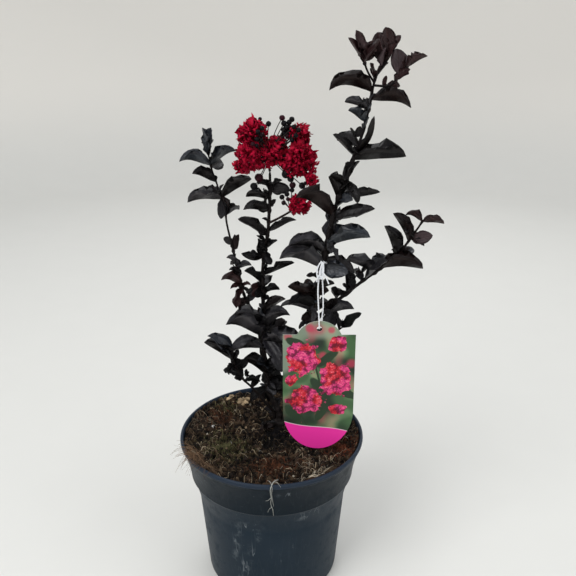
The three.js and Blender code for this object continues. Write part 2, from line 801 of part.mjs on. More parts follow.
// The string: a loop round the right stem, a knot, one strand down the tag's front and through its
// hole, the other strand up behind it, and a short loose end.
const STRING_LOOP = [49.4, -23.1, 355];
const KNOT = [48.4, -29, 354];
const STRAND = [
  KNOT,
  [45.6, -31.4, 343],
  [44.5, -32, 329],
  [45.3, -33.8, 310],
  [46, -34.2, 297],
  [46.4, -33.4, 291.2],
  [46.7, -30.6, 291.2],
  [48.2, -29.6, 297],
  [49.6, -29.4, 310],
  [49.2, -29.7, 328],
  [48.2, -30.2, 343],
  KNOT,
];
const LOOSE_END = [KNOT, [47.4, -31.6, 349], [47.4, -33, 343]];

function cordSolid(route, steps) {
  const section = new THREE.Shape().absarc(0, 0, STRING_R, 0, 2 * Math.PI);
  const options = { extrudePath: curveThrough(route), steps, bevelEnabled: false, curveSegments: 4 };
  return solid(new THREE.ExtrudeGeometry(section, options));
}

function stringSolid() {
  const loop = new THREE.TorusGeometry(STRING_LOOP_R, STRING_R, 8, 12);
  loop.rotateY(radians(STRING_LOOP_TILT)).translate(...STRING_LOOP);
  const knot = new THREE.SphereGeometry(KNOT_R, 8, 6).translate(...KNOT);
  return oneBody([solid(knot), solid(loop), cordSolid(STRAND, 26), cordSolid(LOOSE_END, 3)]);
}

// ---- Assembly -------------------------------------------------------------------------------------

const MATERIALS = {
  pot: new THREE.MeshStandardMaterial({ color: 0x3a4650, roughness: 0.55, metalness: 0 }),
  soil: new THREE.MeshStandardMaterial({ color: 0x4a3b2c, roughness: 1, metalness: 0 }),
  bark: new THREE.MeshStandardMaterial({ color: 0x2b211d, roughness: 0.8, metalness: 0 }),
  foliage: new THREE.MeshStandardMaterial({ color: 0x221f22, roughness: 0.45, metalness: 0 }),
  blossom: new THREE.MeshStandardMaterial({ color: 0xb01432, roughness: 0.6, metalness: 0 }),
  tag: new THREE.MeshStandardMaterial({ color: 0xa8c39a, roughness: 0.4, metalness: 0 }),
  string: new THREE.MeshStandardMaterial({ color: 0xe6e8ef, roughness: 0.8, metalness: 0 }),
};

const plant = new THREE.Group();

function addNode(name, whole, material) {
  const mesh = new THREE.Mesh(geometryOf(whole), MATERIALS[material]);
  mesh.name = name;
  plant.add(mesh);
}

addNode('pot', potSolid(), 'pot');
addNode('soil', soilSolid(), 'soil');

const stump = taperedPath([[...STUMP_AT, SOIL_TOP + GAP], [...STUMP_AT, STUMP_TOP]], [STUMP_R, STUMP_R]);
addNode('stump', limb(stump, 10, 5, STUMP_FLARE), 'bark');

for (const [name, piece] of Object.entries(LIMBS)) {
  const path = stretchOf(piece);
  addNode(name, limb(path, STEM_SIDES, 3 * (piece.span[1] - piece.span[0])), 'bark');
  claimPath(path, 24, name);
}

// The leaves that are named one by one claim their room first, and the seeded ones fill what is left.
const shoots = [];
for (const [name, mass] of Object.entries(MASSES)) {
  const twigs = (mass.twigs ?? []).map((twig) => ({ ...twig, path: taperedPath(twig.route, twig.radii), extra: [0, 0] }));
  for (const shoot of [{ ...mass, path: stretchOf(mass) }, ...twigs]) {
    const leaves = shoot.leaves.map(leafOf);
    claimPath(shoot.path, 12, name);
    for (const leaf of leaves) claim(testPoints(shoot.path.placeAt(leaf.at), leaf).slice(ROOT_TEST_POINTS), name);
    shoots.push({ ...shoot, owner: name, leaves });
  }
}
for (const lobe of Object.values(BLOSSOM).flatMap(({ lobes }) => lobes)) claim([point(...lobe[0])], 'blossom');

for (const name of Object.keys(MASSES)) {
  const pieces = [];
  for (const [index, shoot] of shoots.entries()) {
    if (shoot.owner !== name) continue;
    const leaves = [...shoot.leaves, ...extraLeaves(shoot, name, FIRST_SEED + index)];
    pieces.push(limb(shoot.path, TWIG_SIDES, 6));
    for (const leaf of leaves) pieces.push(leafSolid(shoot.path.placeAt(leaf.at), leaf));
  }
  addNode(name, oneBody(pieces), 'foliage');
}

for (const [name, blossom] of Object.entries(BLOSSOM)) {
  const { from, at, route } = blossom;
  const rooted = from ? [sideFoot(grownStems[from], at, route[0], 1.2), ...route] : route;
  addNode(name, blossomSolid({ ...blossom, route: rooted }), 'blossom');
}

addNode('hang_tag', tagSolid(), 'tag');
addNode('tag_string', stringSolid(), 'string');

export default plant;
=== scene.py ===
import math

import bpy
import numpy as np
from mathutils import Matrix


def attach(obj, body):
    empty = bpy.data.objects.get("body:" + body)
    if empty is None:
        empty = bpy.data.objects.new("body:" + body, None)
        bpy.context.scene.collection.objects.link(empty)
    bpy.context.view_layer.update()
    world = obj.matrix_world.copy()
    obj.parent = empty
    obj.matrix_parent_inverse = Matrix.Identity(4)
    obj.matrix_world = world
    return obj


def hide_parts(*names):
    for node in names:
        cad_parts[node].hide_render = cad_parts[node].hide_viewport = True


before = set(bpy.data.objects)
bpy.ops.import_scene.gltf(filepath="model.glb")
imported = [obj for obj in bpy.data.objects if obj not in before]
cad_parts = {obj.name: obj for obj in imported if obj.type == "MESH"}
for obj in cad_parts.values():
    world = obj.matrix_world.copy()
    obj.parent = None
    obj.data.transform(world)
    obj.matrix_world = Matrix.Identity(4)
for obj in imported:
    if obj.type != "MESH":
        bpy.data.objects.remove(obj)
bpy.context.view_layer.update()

mm = 0.001  # the tables are in millimetres and degrees, and places for a shader in metres
print("frame loaded:", len(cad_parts), "solids")


# Numbers, noise and lines

goldenTurn = math.pi * (3 - math.sqrt(5))
hashing = {
    "primes": np.array([374761393, 668265263, 362437]),  # one for each coordinate
    "seedStep": 1013,
    "stirs": ((13, 1274126177), (11, 668265263)),  # shift and factor
    "mask": 0xFFFFFFF,
}
sourceRun = {"factor": 1664525, "step": 1013904223, "size": 2**32}


def unit(vectors):
    # each vector over its own length
    return vectors / np.maximum(np.linalg.norm(vectors, axis=-1, keepdims=True), 1e-9)


def ease(value, low, high):
    # 0 up to low, 1 from high on, and 3t^2 - 2t^3 between them
    share = np.clip((value - low) / (high - low), 0, 1)
    return share * share * (3 - 2 * share)


def cloud(spots, seed):
    # value noise from 0 to 1: a random number at each whole-number corner, eased between the corners
    size = spots.shape[-1]
    cell = np.floor(spots).astype(np.int64)
    local = ease(spots - cell, 0, 1)
    total = np.zeros(spots.shape[:-1])
    for corner in np.ndindex(*(2,) * size):
        key = ((cell + corner) * hashing["primes"][:size]).sum(-1) + seed * hashing["seedStep"]
        for shift, factor in hashing["stirs"]:
            key = ((key ^ (key >> shift)) * factor) & hashing["mask"]
        total += key / hashing["mask"] * np.where(corner, local, 1 - local).prod(-1)
    return total


def seeded(seed):
    # the source's run of numbers from 0 to 1: the state is multiplied, added to and cut to 32 bits
    state = [seed]

    def draw():
        state[0] = (state[0] * sourceRun["factor"] + sourceRun["step"]) % sourceRun["size"]
        return state[0] / sourceRun["size"]

    return draw


def roundTurn(count):
    # that many angles, spread evenly over a full turn
    return 2 * math.pi * np.arange(count) / count


def polar(radius, angle):
    # across and away of a point at that distance and angle from the axis
    return np.stack([radius * np.cos(angle), radius * np.sin(angle)], axis=-1)


def lengthAlong(places):
    # how far along its line each of a row of points lies
    return np.concatenate([[0], np.cumsum(np.linalg.norm(np.diff(places, axis=0), axis=1))])


def bend(start, pull, end, steps):
    # a line that leaves start towards pull and reaches end from it
    part = np.linspace(0, 1, steps)[:, None]
    start, pull, end = np.array(start), np.array(pull), np.array(end)
    return (1 - part) ** 2 * start + 2 * part * (1 - part) * pull + part**2 * end


def throughKnots(knots, share):
    # cubic through the knots, whose slope at a knot is half the step between its two neighbours
    knots = np.asarray(knots, float)
    padded = np.vstack([2 * knots[0] - knots[1], knots, 2 * knots[-1] - knots[-2]])
    along = np.asarray(share, float) * (len(knots) - 1)
    first = np.clip(along.astype(int), 0, len(knots) - 2)
    part = (along - first)[..., None]
    before, here, after, beyond = (padded[first + k] for k in range(4))
    slopeHere, slopeAfter = (after - before) / 2, (beyond - here) / 2
    square = 3 * (after - here) - 2 * slopeHere - slopeAfter
    cube = 2 * (here - after) + slopeHere + slopeAfter
    return here + slopeHere * part + square * part**2 + cube * part**3


class Path:
    # a line through knots, or the stretch of it from one share to another, that thins from
    # radii[0] to radii[1] along it or, with byHeight, as it rises
    def __init__(self, knots, radii, first=0.0, last=1.0, byHeight=False):
        self.knots, self.radii = np.array(knots, float), radii
        self.first, self.last, self.byHeight = first, last, byHeight
        self.segments = len(knots) - 1

    def onLine(self, share):
        return self.first + (self.last - self.first) * np.asarray(share, float)

    def place(self, share):
        return throughKnots(self.knots, self.onLine(share))

    def tangent(self, share, nudge=1e-4):
        share = self.onLine(share)
        ahead = throughKnots(self.knots, np.minimum(share + nudge, 1))
        return unit(ahead - throughKnots(self.knots, np.maximum(share - nudge, 0)))

    def radius(self, share):
        part = self.onLine(share)
        if self.byHeight:
            low, high = self.knots[0, 2], self.knots[-1, 2]
            part = (self.place(share)[..., 2] - low) / (high - low)
        return self.radii[0] + (self.radii[1] - self.radii[0]) * part


# Shapes and meshes. A shape is a dictionary of arrays: points, quads, triangles, and for each point a place
# on its own surface, a tone and the number of its material.


def shapeOf(points, quads, triangles=None, surface=None, tone=0.5, pick=0):
    count = len(points)
    return {
        "points": points,
        "quads": quads.astype(np.int64),
        "triangles": np.zeros((0, 3), np.int64) if triangles is None else triangles.astype(np.int64),
        "surface": np.zeros((count, 2)) if surface is None else surface,
        "tone": np.broadcast_to(tone, count),
        "pick": np.broadcast_to(pick, count),
    }


def joined(shapes):
    # several shapes as one, with each one's face numbers moved on by the points before it
    starts = np.cumsum([0] + [len(shape["points"]) for shape in shapes])
    whole = {key: np.concatenate([shape[key] for shape in shapes]) for key in shapes[0]}
    for key in ("quads", "triangles"):
        whole[key] = np.concatenate([shape[key] + start for shape, start in zip(shapes, starts)])
    return whole


def ringFaces(rings, sides):
    # quads from each ring of points to the next, and fans to the two points that close the ends
    here = np.arange(rings * sides).reshape(rings, sides)
    beside = np.roll(here, -1, axis=1)
    quads = np.stack([here[:-1], beside[:-1], beside[1:], here[1:]], axis=-1).reshape(-1, 4)
    foot, tip = np.full(sides, rings * sides), np.full(sides, rings * sides + 1)
    fans = np.stack([foot, beside[0], here[0]], -1), np.stack([tip, here[-1], beside[-1]], -1)
    return quads, np.concatenate(fans)


def tubes(paths, radii, sides, relief=None, tone=None, pick=0, reference=None):
    # a ring of points square to each step of each path, at the path's place plus its radius times
    # (cos, sin) of the angle, and a point that closes either end; reference is a direction that no
    # path takes, and without it the axis that the path follows least
    paths = np.asarray(paths, float)
    count, steps = paths.shape[:2]
    if reference is None:
        reference = np.eye(3)[np.argmin(np.abs(paths[:, -1] - paths[:, 0]), axis=1)][:, None]
    along = unit(np.gradient(paths, axis=1))
    side = unit(np.cross(along, reference))
    other = np.cross(along, side)
    angle = roundTurn(sides)
    ring = side[:, :, None] * np.cos(angle)[:, None] + other[:, :, None] * np.sin(angle)[:, None]
    reach = np.broadcast_to(radii, (count, steps))[..., None] * (1 if relief is None else relief)
    walls = paths[:, :, None] + ring * np.broadcast_to(reach, ring.shape[:3])[..., None]
    points = np.concatenate([walls.reshape(count, -1, 3), paths[:, :1], paths[:, -1:]], axis=1)
    return repeated(points, *ringFaces(steps, sides), tone=tone, pick=pick)


def repeated(points, quads, triangles=None, surface=None, tone=None, pick=0):
    # copies of one net of faces over each row of points
    count, size = points.shape[:2]
    starts = (np.arange(count) * size)[:, None, None]
    tone = np.full(count, 0.5) if tone is None else np.asarray(tone, float)
    return shapeOf(
        points.reshape(-1, 3),
        (quads[None] + starts).reshape(-1, 4),
        None if triangles is None else (triangles[None] + starts).reshape(-1, 3),
        None if surface is None else np.tile(surface, (count, 1)),
        np.repeat(tone, size),
        np.repeat(np.broadcast_to(pick, count), size),
    )


def shells(upper, lower, tone=None, pick=0):
    # thin closed sheets: the under side shares the upper side's margin, so nothing is open
    count, rows, columns = upper.shape[:3]
    inner = (rows - 2) * (columns - 2)
    top = np.arange(rows * columns).reshape(rows, columns)
    under = top.copy()
    under[1:-1, 1:-1] = rows * columns + np.arange(inner).reshape(rows - 2, columns - 2)
    quads = []
    for net, turn in ((top, 1), (under, -1)):
        corners = np.stack([net[:-1, :-1], net[1:, :-1], net[1:, 1:], net[:-1, 1:]], axis=-1)
        quads.append(corners.reshape(-1, 4)[:, ::turn])
    points = [part.reshape(count, -1, 3) for part in (upper, lower[:, 1:-1, 1:-1])]
    grid = np.stack(np.meshgrid(np.linspace(0, 1, columns), np.linspace(0, 1, rows)), axis=-1)
    surface = np.concatenate([grid.reshape(-1, 2), grid[1:-1, 1:-1].reshape(-1, 2)])
    points, quads = np.concatenate(points, axis=1), np.concatenate(quads)
    return repeated(points, quads, surface=surface, tone=tone, pick=pick)


def turned(profile, sides):
    # a profile of (radius, height), from axis to axis, turned about the upright axis
    profile = np.asarray(profile, float)
    radius, height = profile[1:-1].T[..., None]
    angle = roundTurn(sides)
    walls = np.concatenate([polar(radius, angle), (height + 0 * angle)[..., None]], axis=-1)
    ends = np.array([[0, 0, profile[0, 1]], [0, 0, profile[-1, 1]]])
    quads, fans = ringFaces(len(profile) - 2, sides)
    return shapeOf(np.concatenate([walls.reshape(-1, 3), ends]), quads, fans)


def makeMesh(name, shape, materials, smooth=True):
    mesh = bpy.data.meshes.new(name)
    faces = shape["quads"].tolist() + shape["triangles"].tolist()
    mesh.from_pydata((shape["points"] * mm).tolist(), [], faces)
    for material in materials:
        mesh.materials.append(material)
    mesh.polygons.foreach_set("use_smooth", np.full(len(faces), smooth))
    leading = np.concatenate([shape["quads"][:, 0], shape["triangles"][:, 0]])
    mesh.polygons.foreach_set("material_index", shape["pick"][leading].astype(np.int32))
    corners = np.zeros(len(mesh.loops), np.int32)
    mesh.loops.foreach_get("vertex_index", corners)
    layer = mesh.uv_layers.new(name="surface")
    layer.data.foreach_set("uv", shape["surface"][corners].astype(np.float32).ravel())
    tone = mesh.attributes.new("tone", "FLOAT", "POINT")
    tone.data.foreach_set("value", shape["tone"].astype(np.float32))
    mesh.update()
    return mesh


def addObject(name, data):
    # an object at the origin that holds the mesh, lamp or camera
    made = bpy.data.objects.new(name, data)
    bpy.context.scene.collection.objects.link(made)
    return made


def addPiece(name, shape, materials, replaced=(), smooth=True):
    # one finished piece of the plant: it rides on the only body and may stand for solids of the frame
    piece = addObject(name, makeMesh(name, shape, materials, smooth))
    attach(piece, "root")
    if replaced:
        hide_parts(*replaced)
    print("piece", name, len(shape["points"]), "points")
    return piece


# Shaders


class Value:
    # a number inside a shader, on which the usual signs add Math nodes
    def __init__(self, shader, socket):
        self.shader, self.socket = shader, socket

    def maths(self, operation, *numbers):
        return self.shader.add("ShaderNodeMath", {"operation": operation}, dict(enumerate(numbers)))

    def __add__(self, other):
        return self.maths("ADD", self, other)

    def __sub__(self, other):
        return self.maths("SUBTRACT", self, other)

    def __rsub__(self, other):
        return self.maths("SUBTRACT", other, self)

    def __mul__(self, other):
        return self.maths("MULTIPLY", self, other)

    def __abs__(self):
        return self.maths("ABSOLUTE", self)

    __radd__, __rmul__ = __add__, __mul__


class Shader:
    # one material and the nodes in it
    def __init__(self, name):
        self.material = bpy.data.materials.new(name)
        self.material.use_nodes = True
        self.tree = self.material.node_tree
        self.tree.nodes.clear()

    def add(self, kind, settings=None, inputs=None, output=0):
        # a node of that kind: its settings first, then the values or links of its sockets
        node = self.tree.nodes.new(kind)
        for name, value in (settings or {}).items():
            if name == "stops":
                ends = node.color_ramp.elements
                ends[0].position, ends[0].color = value[0][0], (*value[0][1], 1)
                ends[1].position, ends[1].color = value[-1][0], (*value[-1][1], 1)
                for position, colour in value[1:-1]:
                    ends.new(position).color = (*colour, 1)
            else:
                setattr(node, name, value)
        for name, value in (inputs or {}).items():
            if isinstance(value, Value):
                self.tree.links.new(value.socket, node.inputs[name])
            else:
                node.inputs[name].default_value = value
        return Value(self, node.outputs[output]) if len(node.outputs) else None

    def place(self, scale=(1, 1, 1), centre=(0, 0, 0)):
        # the object's own coordinates in metres, moved so that centre is nought and then scaled
        where = self.add("ShaderNodeTexCoord", output="Object")
        shift = tuple(-c * s for c, s in zip(centre, scale))
        return self.add("ShaderNodeMapping", {}, {"Vector": where, "Location": shift, "Scale": scale})

    def noise(self, vector, scale, detail=3.0, roughness=0.5):
        inputs = {"Vector": vector, "Scale": scale, "Detail": detail, "Roughness": roughness}
        return self.add("ShaderNodeTexNoise", {}, inputs)

    def cells(self, vector, scale):
        # how far a place is from the nearest of many scattered points
        inputs = {"Vector": vector, "Scale": scale}
        return self.add("ShaderNodeTexVoronoi", {"feature": "F1"}, inputs, "Distance")

    def between(self, value, low, high):
        # 0 up to low, 1 from high on, eased between them
        inputs = {0: value, 1: low, 2: high}
        return self.add("ShaderNodeMapRange", {"interpolation_type": "SMOOTHSTEP"}, inputs)

    def mix(self, first, second, share):
        colours = {0: share}
        for index, colour in ((6, first), (7, second)):
            colours[index] = colour if isinstance(colour, Value) else (*colour, 1)
        return self.add("ShaderNodeMix", {"data_type": "RGBA"}, colours, 2)

    def layered(self, base, *layers):
        # a colour with others laid over it in turn, each by its own share
        for colour, share in layers:
            base = self.mix(base, colour, share)
        return base

    def ramp(self, value, stops):
        return self.add("ShaderNodeValToRGB", {"stops": stops}, {"Fac": value})

    def part(self, vector, axis):
        return self.add("ShaderNodeSeparateXYZ", {}, {0: vector}, axis)

    def surface(self):
        # where a point lies on its own leaf, petal or card
        return self.add("ShaderNodeUVMap", {"uv_map": "surface"})

    def tone(self):
        # the random number that each leaf, petal or fibre has for itself
        return self.add("ShaderNodeAttribute", {"attribute_name": "tone"}, output="Fac")

    def within(self, vector):
        # 1 where the vector is short, eased to 0 where its length is 1
        reach = self.add("ShaderNodeVectorMath", {"operation": "LENGTH"}, {0: vector}, "Value")
        return 1 - self.between(reach, 0.2, 1)

    def spot(self, centre, size):
        # 1 at centre, falling to 0 at a distance of size along each axis
        return self.within(self.place(tuple(1 / s for s in size), centre))

    def blade(self, centre, size, turn):
        # like spot, for a long thin patch on an upright card, turned about the level axis
        where = self.add("ShaderNodeTexCoord", output="Object")
        for move in (
            {"Location": (-centre[0], 0, -centre[1])},
            {"Rotation": (0, math.radians(turn), 0)},
            {"Scale": (1 / size[0], 0, 1 / size[1])},
        ):
            where = self.add("ShaderNodeMapping", {}, {"Vector": where, **move})
        return self.within(where)

    def finish(self, colour, roughness, relief=None, depth=0.5, **fixed):
        # the shader's own sockets, with the relief as a bump that is depth millimetres high
        inputs = {"Base Color": colour, "Roughness": roughness}
        inputs.update({name.replace("_", " "): value for name, value in fixed.items()})
        if relief is not None:
            bump = {"Height": relief, "Strength": 1.0, "Distance": depth * mm}
            inputs["Normal"] = self.add("ShaderNodeBump", {}, bump)
        shader = self.add("ShaderNodeBsdfPrincipled", {}, inputs)
        self.add("ShaderNodeOutputMaterial", {}, {"Surface": shader})
        return self.material


# Camera, floor and light

view = {
    "place": (0.017, -0.6321, 0.5596),
    "down": 20.85,  # degrees under level
    "lens": 43.75,
    "nearest": 0.01,
    "floorRadius": 2.6,
    "floorFlat": (0.35, 0.7),  # shares of the radius where a ring lies and where the floor starts to rise
    "floorRise": 1.5,
    "floorGrid": (24, 96),
    "floorDrop": 0.05,  # millimetres under the pot
    "floorColour": (0.70, 0.70, 0.67),
    "wallColour": (0.80, 0.78, 0.735),
    "wallHeight": (0.02, 0.35),  # where the wall's colour begins and where it is full
    "sky": (0.94, 0.96, 1.0),
    "skyStrength": 0.63,
    # name: place, target, size and watts
    "lamps": {
        "keyLamp": ((-0.9, -1.0, 1.7), (0.0, 0.0, 0.3), 1.1, 24),
        "fillLamp": ((1.3, -0.7, 1.1), (0.0, 0.0, 0.3), 1.2, 7),
        "backLamp": ((0.3, 1.3, 1.5), (0.0, 0.0, 0.3), 1.2, 9),
    },
}


def makeStudio():
    camera = addObject("camera", bpy.data.cameras.new("camera"))
    camera.location = view["place"]
    camera.rotation_euler = (math.radians(90 - view["down"]), 0, 0)
    camera.data.lens, camera.data.clip_start = view["lens"], view["nearest"]
    bpy.context.scene.camera = camera
    for name, (place, target, size, power) in view["lamps"].items():
        lamp = addObject(name, bpy.data.lights.new(name, "AREA"))
        lamp.data.size, lamp.data.energy = size, power
        lamp.location = place
        aim = unit(np.array(target) - np.array(place))
        lamp.rotation_euler = (math.acos(aim[2]) - math.pi, 0, math.atan2(aim[1], aim[0]) + math.pi / 2)
    world = bpy.data.worlds.new("studio")
    world.use_nodes = True
    background = world.node_tree.nodes["Background"]
    background.inputs["Color"].default_value = (*view["sky"], 1)
    background.inputs["Strength"].default_value = view["skyStrength"]
    bpy.context.scene.world = world
    bpy.context.scene.view_settings.view_transform = "Standard"


def makeFloor():
    # level under the pot, and rising far behind it in one round sweep that ends open
    radius, rise = view["floorRadius"] / mm, view["floorRise"] / mm
    ring, start = (radius * share for share in view["floorFlat"])
    steps, sides = view["floorGrid"]
    sweep = bend((start, 0), (radius, 0), (radius, rise), steps)
    shape = turned(np.vstack([[(0, 0), (ring, 0)], sweep, sweep[-1:]]), sides)
    shape["triangles"] = shape["triangles"][:sides]
    shape["points"] = shape["points"] - (0, 0, view["floorDrop"])
    shader = Shader("paleFloor")
    fine = shader.noise(shader.place(), 14, 4)
    tint = shader.mix([c * 0.97 for c in view["floorColour"]], view["floorColour"], fine)
    high = shader.between(shader.part(shader.place(), "Z"), *view["wallHeight"])
    tint = shader.mix(tint, view["wallColour"], high)
    floor = addObject("floor", makeMesh("floor", shape, [shader.finish(tint, 0.65)]))


makeStudio()
makeFloor()
print("studio ready")


# Pot

pot = {
    "height": 160,
    "rim": 95,
    "foot": 69.5,
    "footCorner": [(-2.2, 0), (0, 0), (0.3, 2.6)],  # beside the foot's edge
    "waist": (77, 91),
    "shoulderPull": (2, 12),  # from the waist, where the shoulder's curve is drawn to
    "collar": (84.5, 118),
    "crease": [(-0.4, -0.5), (0.35, -0.2), (0.75, 0.5), (0.8, 1.3)],  # a small step outwards at the collar
    "flarePull": (2, 18),
    "outerFlarePull": (2.4, 18),
    "lipDepth": 5.5,
    "lipWidth": 3.4,
    "underLip": 93.6,  # how wide the wall is where the rolled lip overhangs it
    "wall": 2,
    "floor": 3,
    "drains": 8,
    "drainRing": 50,
    "drainRadius": 5,
    "sides": 160,
    "plastic": (0.0080, 0.0175, 0.0285),
    "worn": (0.0180, 0.0300, 0.0430),
    "collarShade": (0.0016, 0.0066, 0.0120),
    "lip": (0.0190, 0.0290, 0.0470),
    "dust": (0.13, 0.15, 0.165),
    # heights in metres between which a shade sets in
    "collarFrom": (0.1165, 0.1185),
    "lipFrom": (0.1535, 0.1555),
    "dustUnder": (0.03, 0.0),
    "dustUpTo": (0.104, 0.117),
    "stepAt": 0.1178,  # the step of the collar, drawn as a paler line
    # places where the wall is rubbed pale, as (centre, size) in metres
    "scuffs": [
        ((-0.019, -0.076, 0.098), (0.016, 0.03, 0.007)), ((-0.029, -0.074, 0.093), (0.009, 0.03, 0.012)),
        ((-0.034, -0.072, 0.074), (0.006, 0.03, 0.022)), ((-0.037, -0.070, 0.050), (0.005, 0.03, 0.024)),
        ((-0.012, -0.076, 0.084), (0.005, 0.03, 0.016)), ((-0.019, -0.075, 0.064), (0.006, 0.03, 0.020)),
        ((-0.026, -0.073, 0.040), (0.007, 0.03, 0.026)), ((-0.030, -0.072, 0.016), (0.010, 0.03, 0.016)),
        ((0.036, -0.080, 0.114), (0.017, 0.03, 0.004)), ((0.032, -0.077, 0.108), (0.012, 0.03, 0.006)),
        ((0.045, -0.075, 0.110), (0.006, 0.03, 0.009)), ((0.022, -0.073, 0.070), (0.0014, 0.03, 0.006)),
        ((0.012, -0.073, 0.055), (0.004, 0.03, 0.004)), ((0.034, -0.070, 0.050), (0.003, 0.03, 0.006)),
        ((0.010, -0.090, 0.145), (0.006, 0.03, 0.005)), ((0.018, -0.088, 0.146), (0.010, 0.03, 0.004)),
        ((-0.070, -0.050, 0.140), (0.020, 0.02, 0.012)), ((0.030, 0.078, 0.085), (0.020, 0.03, 0.034)),
        ((-0.076, 0.020, 0.055), (0.030, 0.018, 0.026)), ((0.078, 0.006, 0.070), (0.030, 0.024, 0.020)),
    ],
}


def pulled(start, pull, end, steps):
    # a bend whose pull is given beside its start
    return bend(start, np.array(start) + pull, end, steps)


def wallLine(inset):
    # the inner face of the wall from the floor up, as (radius, height)
    thick = pot["wall"] + inset
    foot = (pot["foot"] - thick, pot["floor"] + inset)
    waist = (pot["waist"][0] - thick, pot["waist"][1])
    collar = (pot["collar"][0] - thick, pot["collar"][1])
    lip = (pot["rim"] - pot["lipWidth"] - inset, pot["height"] - pot["lipDepth"] - 0.5)
    straight = np.linspace(foot, waist, 10)
    shoulder = pulled(waist, pot["shoulderPull"], collar, 8)
    flare = pulled(collar, pot["flarePull"], lip, 10)
    return np.vstack([straight, shoulder[1:], flare[1:]])


def potShape():
    # the outline runs over the flat foot, up the wall, round the rolled lip and down inside to the floor
    height, foot, depth = pot["height"], pot["foot"], pot["lipDepth"]
    waist, collar = np.array(pot["waist"]), np.array(pot["collar"])
    corner = bend(*(np.array(pot["footCorner"]) + (foot, 0)), 6)
    straight = np.linspace(corner[-1], waist - (0, 1.5), 12)
    shoulder = pulled(waist, pot["shoulderPull"], collar - (0.7, 1.1), 9)
    crease = collar + pot["crease"]
    flare = bend(crease[-1], collar + pot["outerFlarePull"], (pot["underLip"], height - depth), 14)
    angle = np.linspace(-0.5, 1, 13) * math.pi
    middle, half = depth / 2, pot["lipWidth"] / 2
    roll = polar(1, angle) * (half, middle) + (pot["rim"] - half, height - middle)
    roll[0] = (pot["underLip"] + 0.6, height - depth + 0.1)
    flat = foot - 12  # how far the middle of the foot and of the floor reaches
    return turned(np.vstack([
        [(0, 0), (flat, 0)], corner, straight[1:], shoulder, crease, flare[1:], roll, wallLine(0)[::-1],
        [(flat, pot["floor"]), (0, pot["floor"])],
    ]), pot["sides"])


def makePlastic():
    # slate grey plastic: a darker collar, a paler lip, dust low down and under the collar, and scuffs
    shader = Shader("slatePlastic")
    place = shader.place()
    height = shader.part(place, "Z")
    broad = shader.noise(place, 22, 5, 0.6)
    collar = shader.between(height, *pot["collarFrom"]) * 0.92
    scratches = shader.noise(shader.place((150, 150, 9)), 1.0, 2, 0.4)
    thin = 1 - shader.between(abs(scratches - 0.5), 0.004, 0.014)
    smudge = shader.between(shader.noise(place, 75, 6, 0.72), 0.46, 0.66)
    rubbed = sum(shader.spot(centre, size) for centre, size in pot["scuffs"])
    underCollar = shader.between(height, *pot["dustUpTo"]) * (1 - collar)
    dusty = shader.between(height, *pot["dustUnder"]) * 0.25 + underCollar * 0.10
    specks = 1 - shader.between(shader.cells(place, 130), 0.05, 0.11)
    step = shader.between(abs(height - pot["stepAt"]), 0.0012, 0.0002)
    base = shader.layered(
        pot["plastic"],
        (pot["worn"], shader.between(broad, 0.40, 0.85) * 0.6),
        (pot["collarShade"], collar),
        (pot["dust"], smudge * dusty * 0.6 + smudge * rubbed * 0.52),
        (pot["dust"], thin * (0.05 + rubbed * 0.7)),
        (pot["dust"], specks * shader.between(broad, 0.45, 0.6) * 0.35),
        (pot["dust"], step * (0.18 + smudge * 0.4)),
        (pot["lip"], shader.between(height, *pot["lipFrom"]) * 0.85),
    )
    gloss = 0.34 + 0.16 * broad + 0.14 * smudge
    relief = shader.noise(place, 700, 3) * 0.35 + thin * 0.2
    return shader.finish(base, gloss, relief, 0.12, Specular_IOR_Level=0.13)


def makePot():
    piece = addPiece("nursery_pot", potShape(), [makePlastic()], ["pot"])
    # the drain holes are cut right through the floor
    ring = polar(pot["drainRing"], roundTurn(pot["drains"]))
    rods = np.stack([np.column_stack([ring, np.full(len(ring), end)]) for end in (-9, 9)], axis=1)
    cutter = addObject("drains", makeMesh("drains", tubes(rods, pot["drainRadius"], 28), []))
    cut = piece.modifiers.new("drains", "BOOLEAN")
    cut.operation, cut.object, cut.solver = "DIFFERENCE", cutter, "EXACT"
    evaluated = piece.evaluated_get(bpy.context.evaluated_depsgraph_get())
    piece.data = bpy.data.meshes.new_from_object(evaluated)
    piece.modifiers.clear()
    bpy.data.objects.remove(cutter)


makePot()


# Compost

compost = {
    "top": 153.0,
    "edgeRise": 3.0,  # it stands up against the wall
    "edge": (56, 90),  # from and to where it rises
    "lumps": (17, 2.0),  # breadth and height
    "crumbs": (5.6, 2.7),
    "grit": (2.1, 1.2),
    "rings": 116,
    "spokes": 310,
    # x, y, reach and extra height
    "heaped": [
        (-76, -42, 15, 4.0), (20, -74, 26, 1.5), (-36, 62, 16, 2.5), (12, 20, 17, 2.0), (64, 54, 22, -4.0),
    ],
    "dark": (0.0035, 0.0025, 0.0020),
    "brown": (0.020, 0.0125, 0.0075),
    "light": (0.085, 0.055, 0.033),
    "rust": (0.055, 0.023, 0.012),
    "moss": (0.066, 0.062, 0.024),
    # places in metres: centre and size
    "shaded": ((0.004, -0.004, 0.155), (0.040, 0.044, 0.05)),
    "mossy": [((-0.048, -0.026, 0.155), (0.05, 0.034, 0.03)), ((-0.056, 0.05, 0.155), (0.03, 0.024, 0.03))],
}


def compostRelief(spots):
    # crumbs with sharp crests, where one less twice the noise's distance from its middle is squared, and
    # finer grit on them
    (crumbWide, crumbHigh), (gritWide, gritHigh) = compost["crumbs"], compost["grit"]
    crumb = 1 - 2 * np.abs(cloud(spots / crumbWide, 5) - 0.5)
    return crumbHigh * (crumb**2 * 2 - 1.1) + gritHigh * (cloud(spots / gritWide, 8) - 0.5) * 2


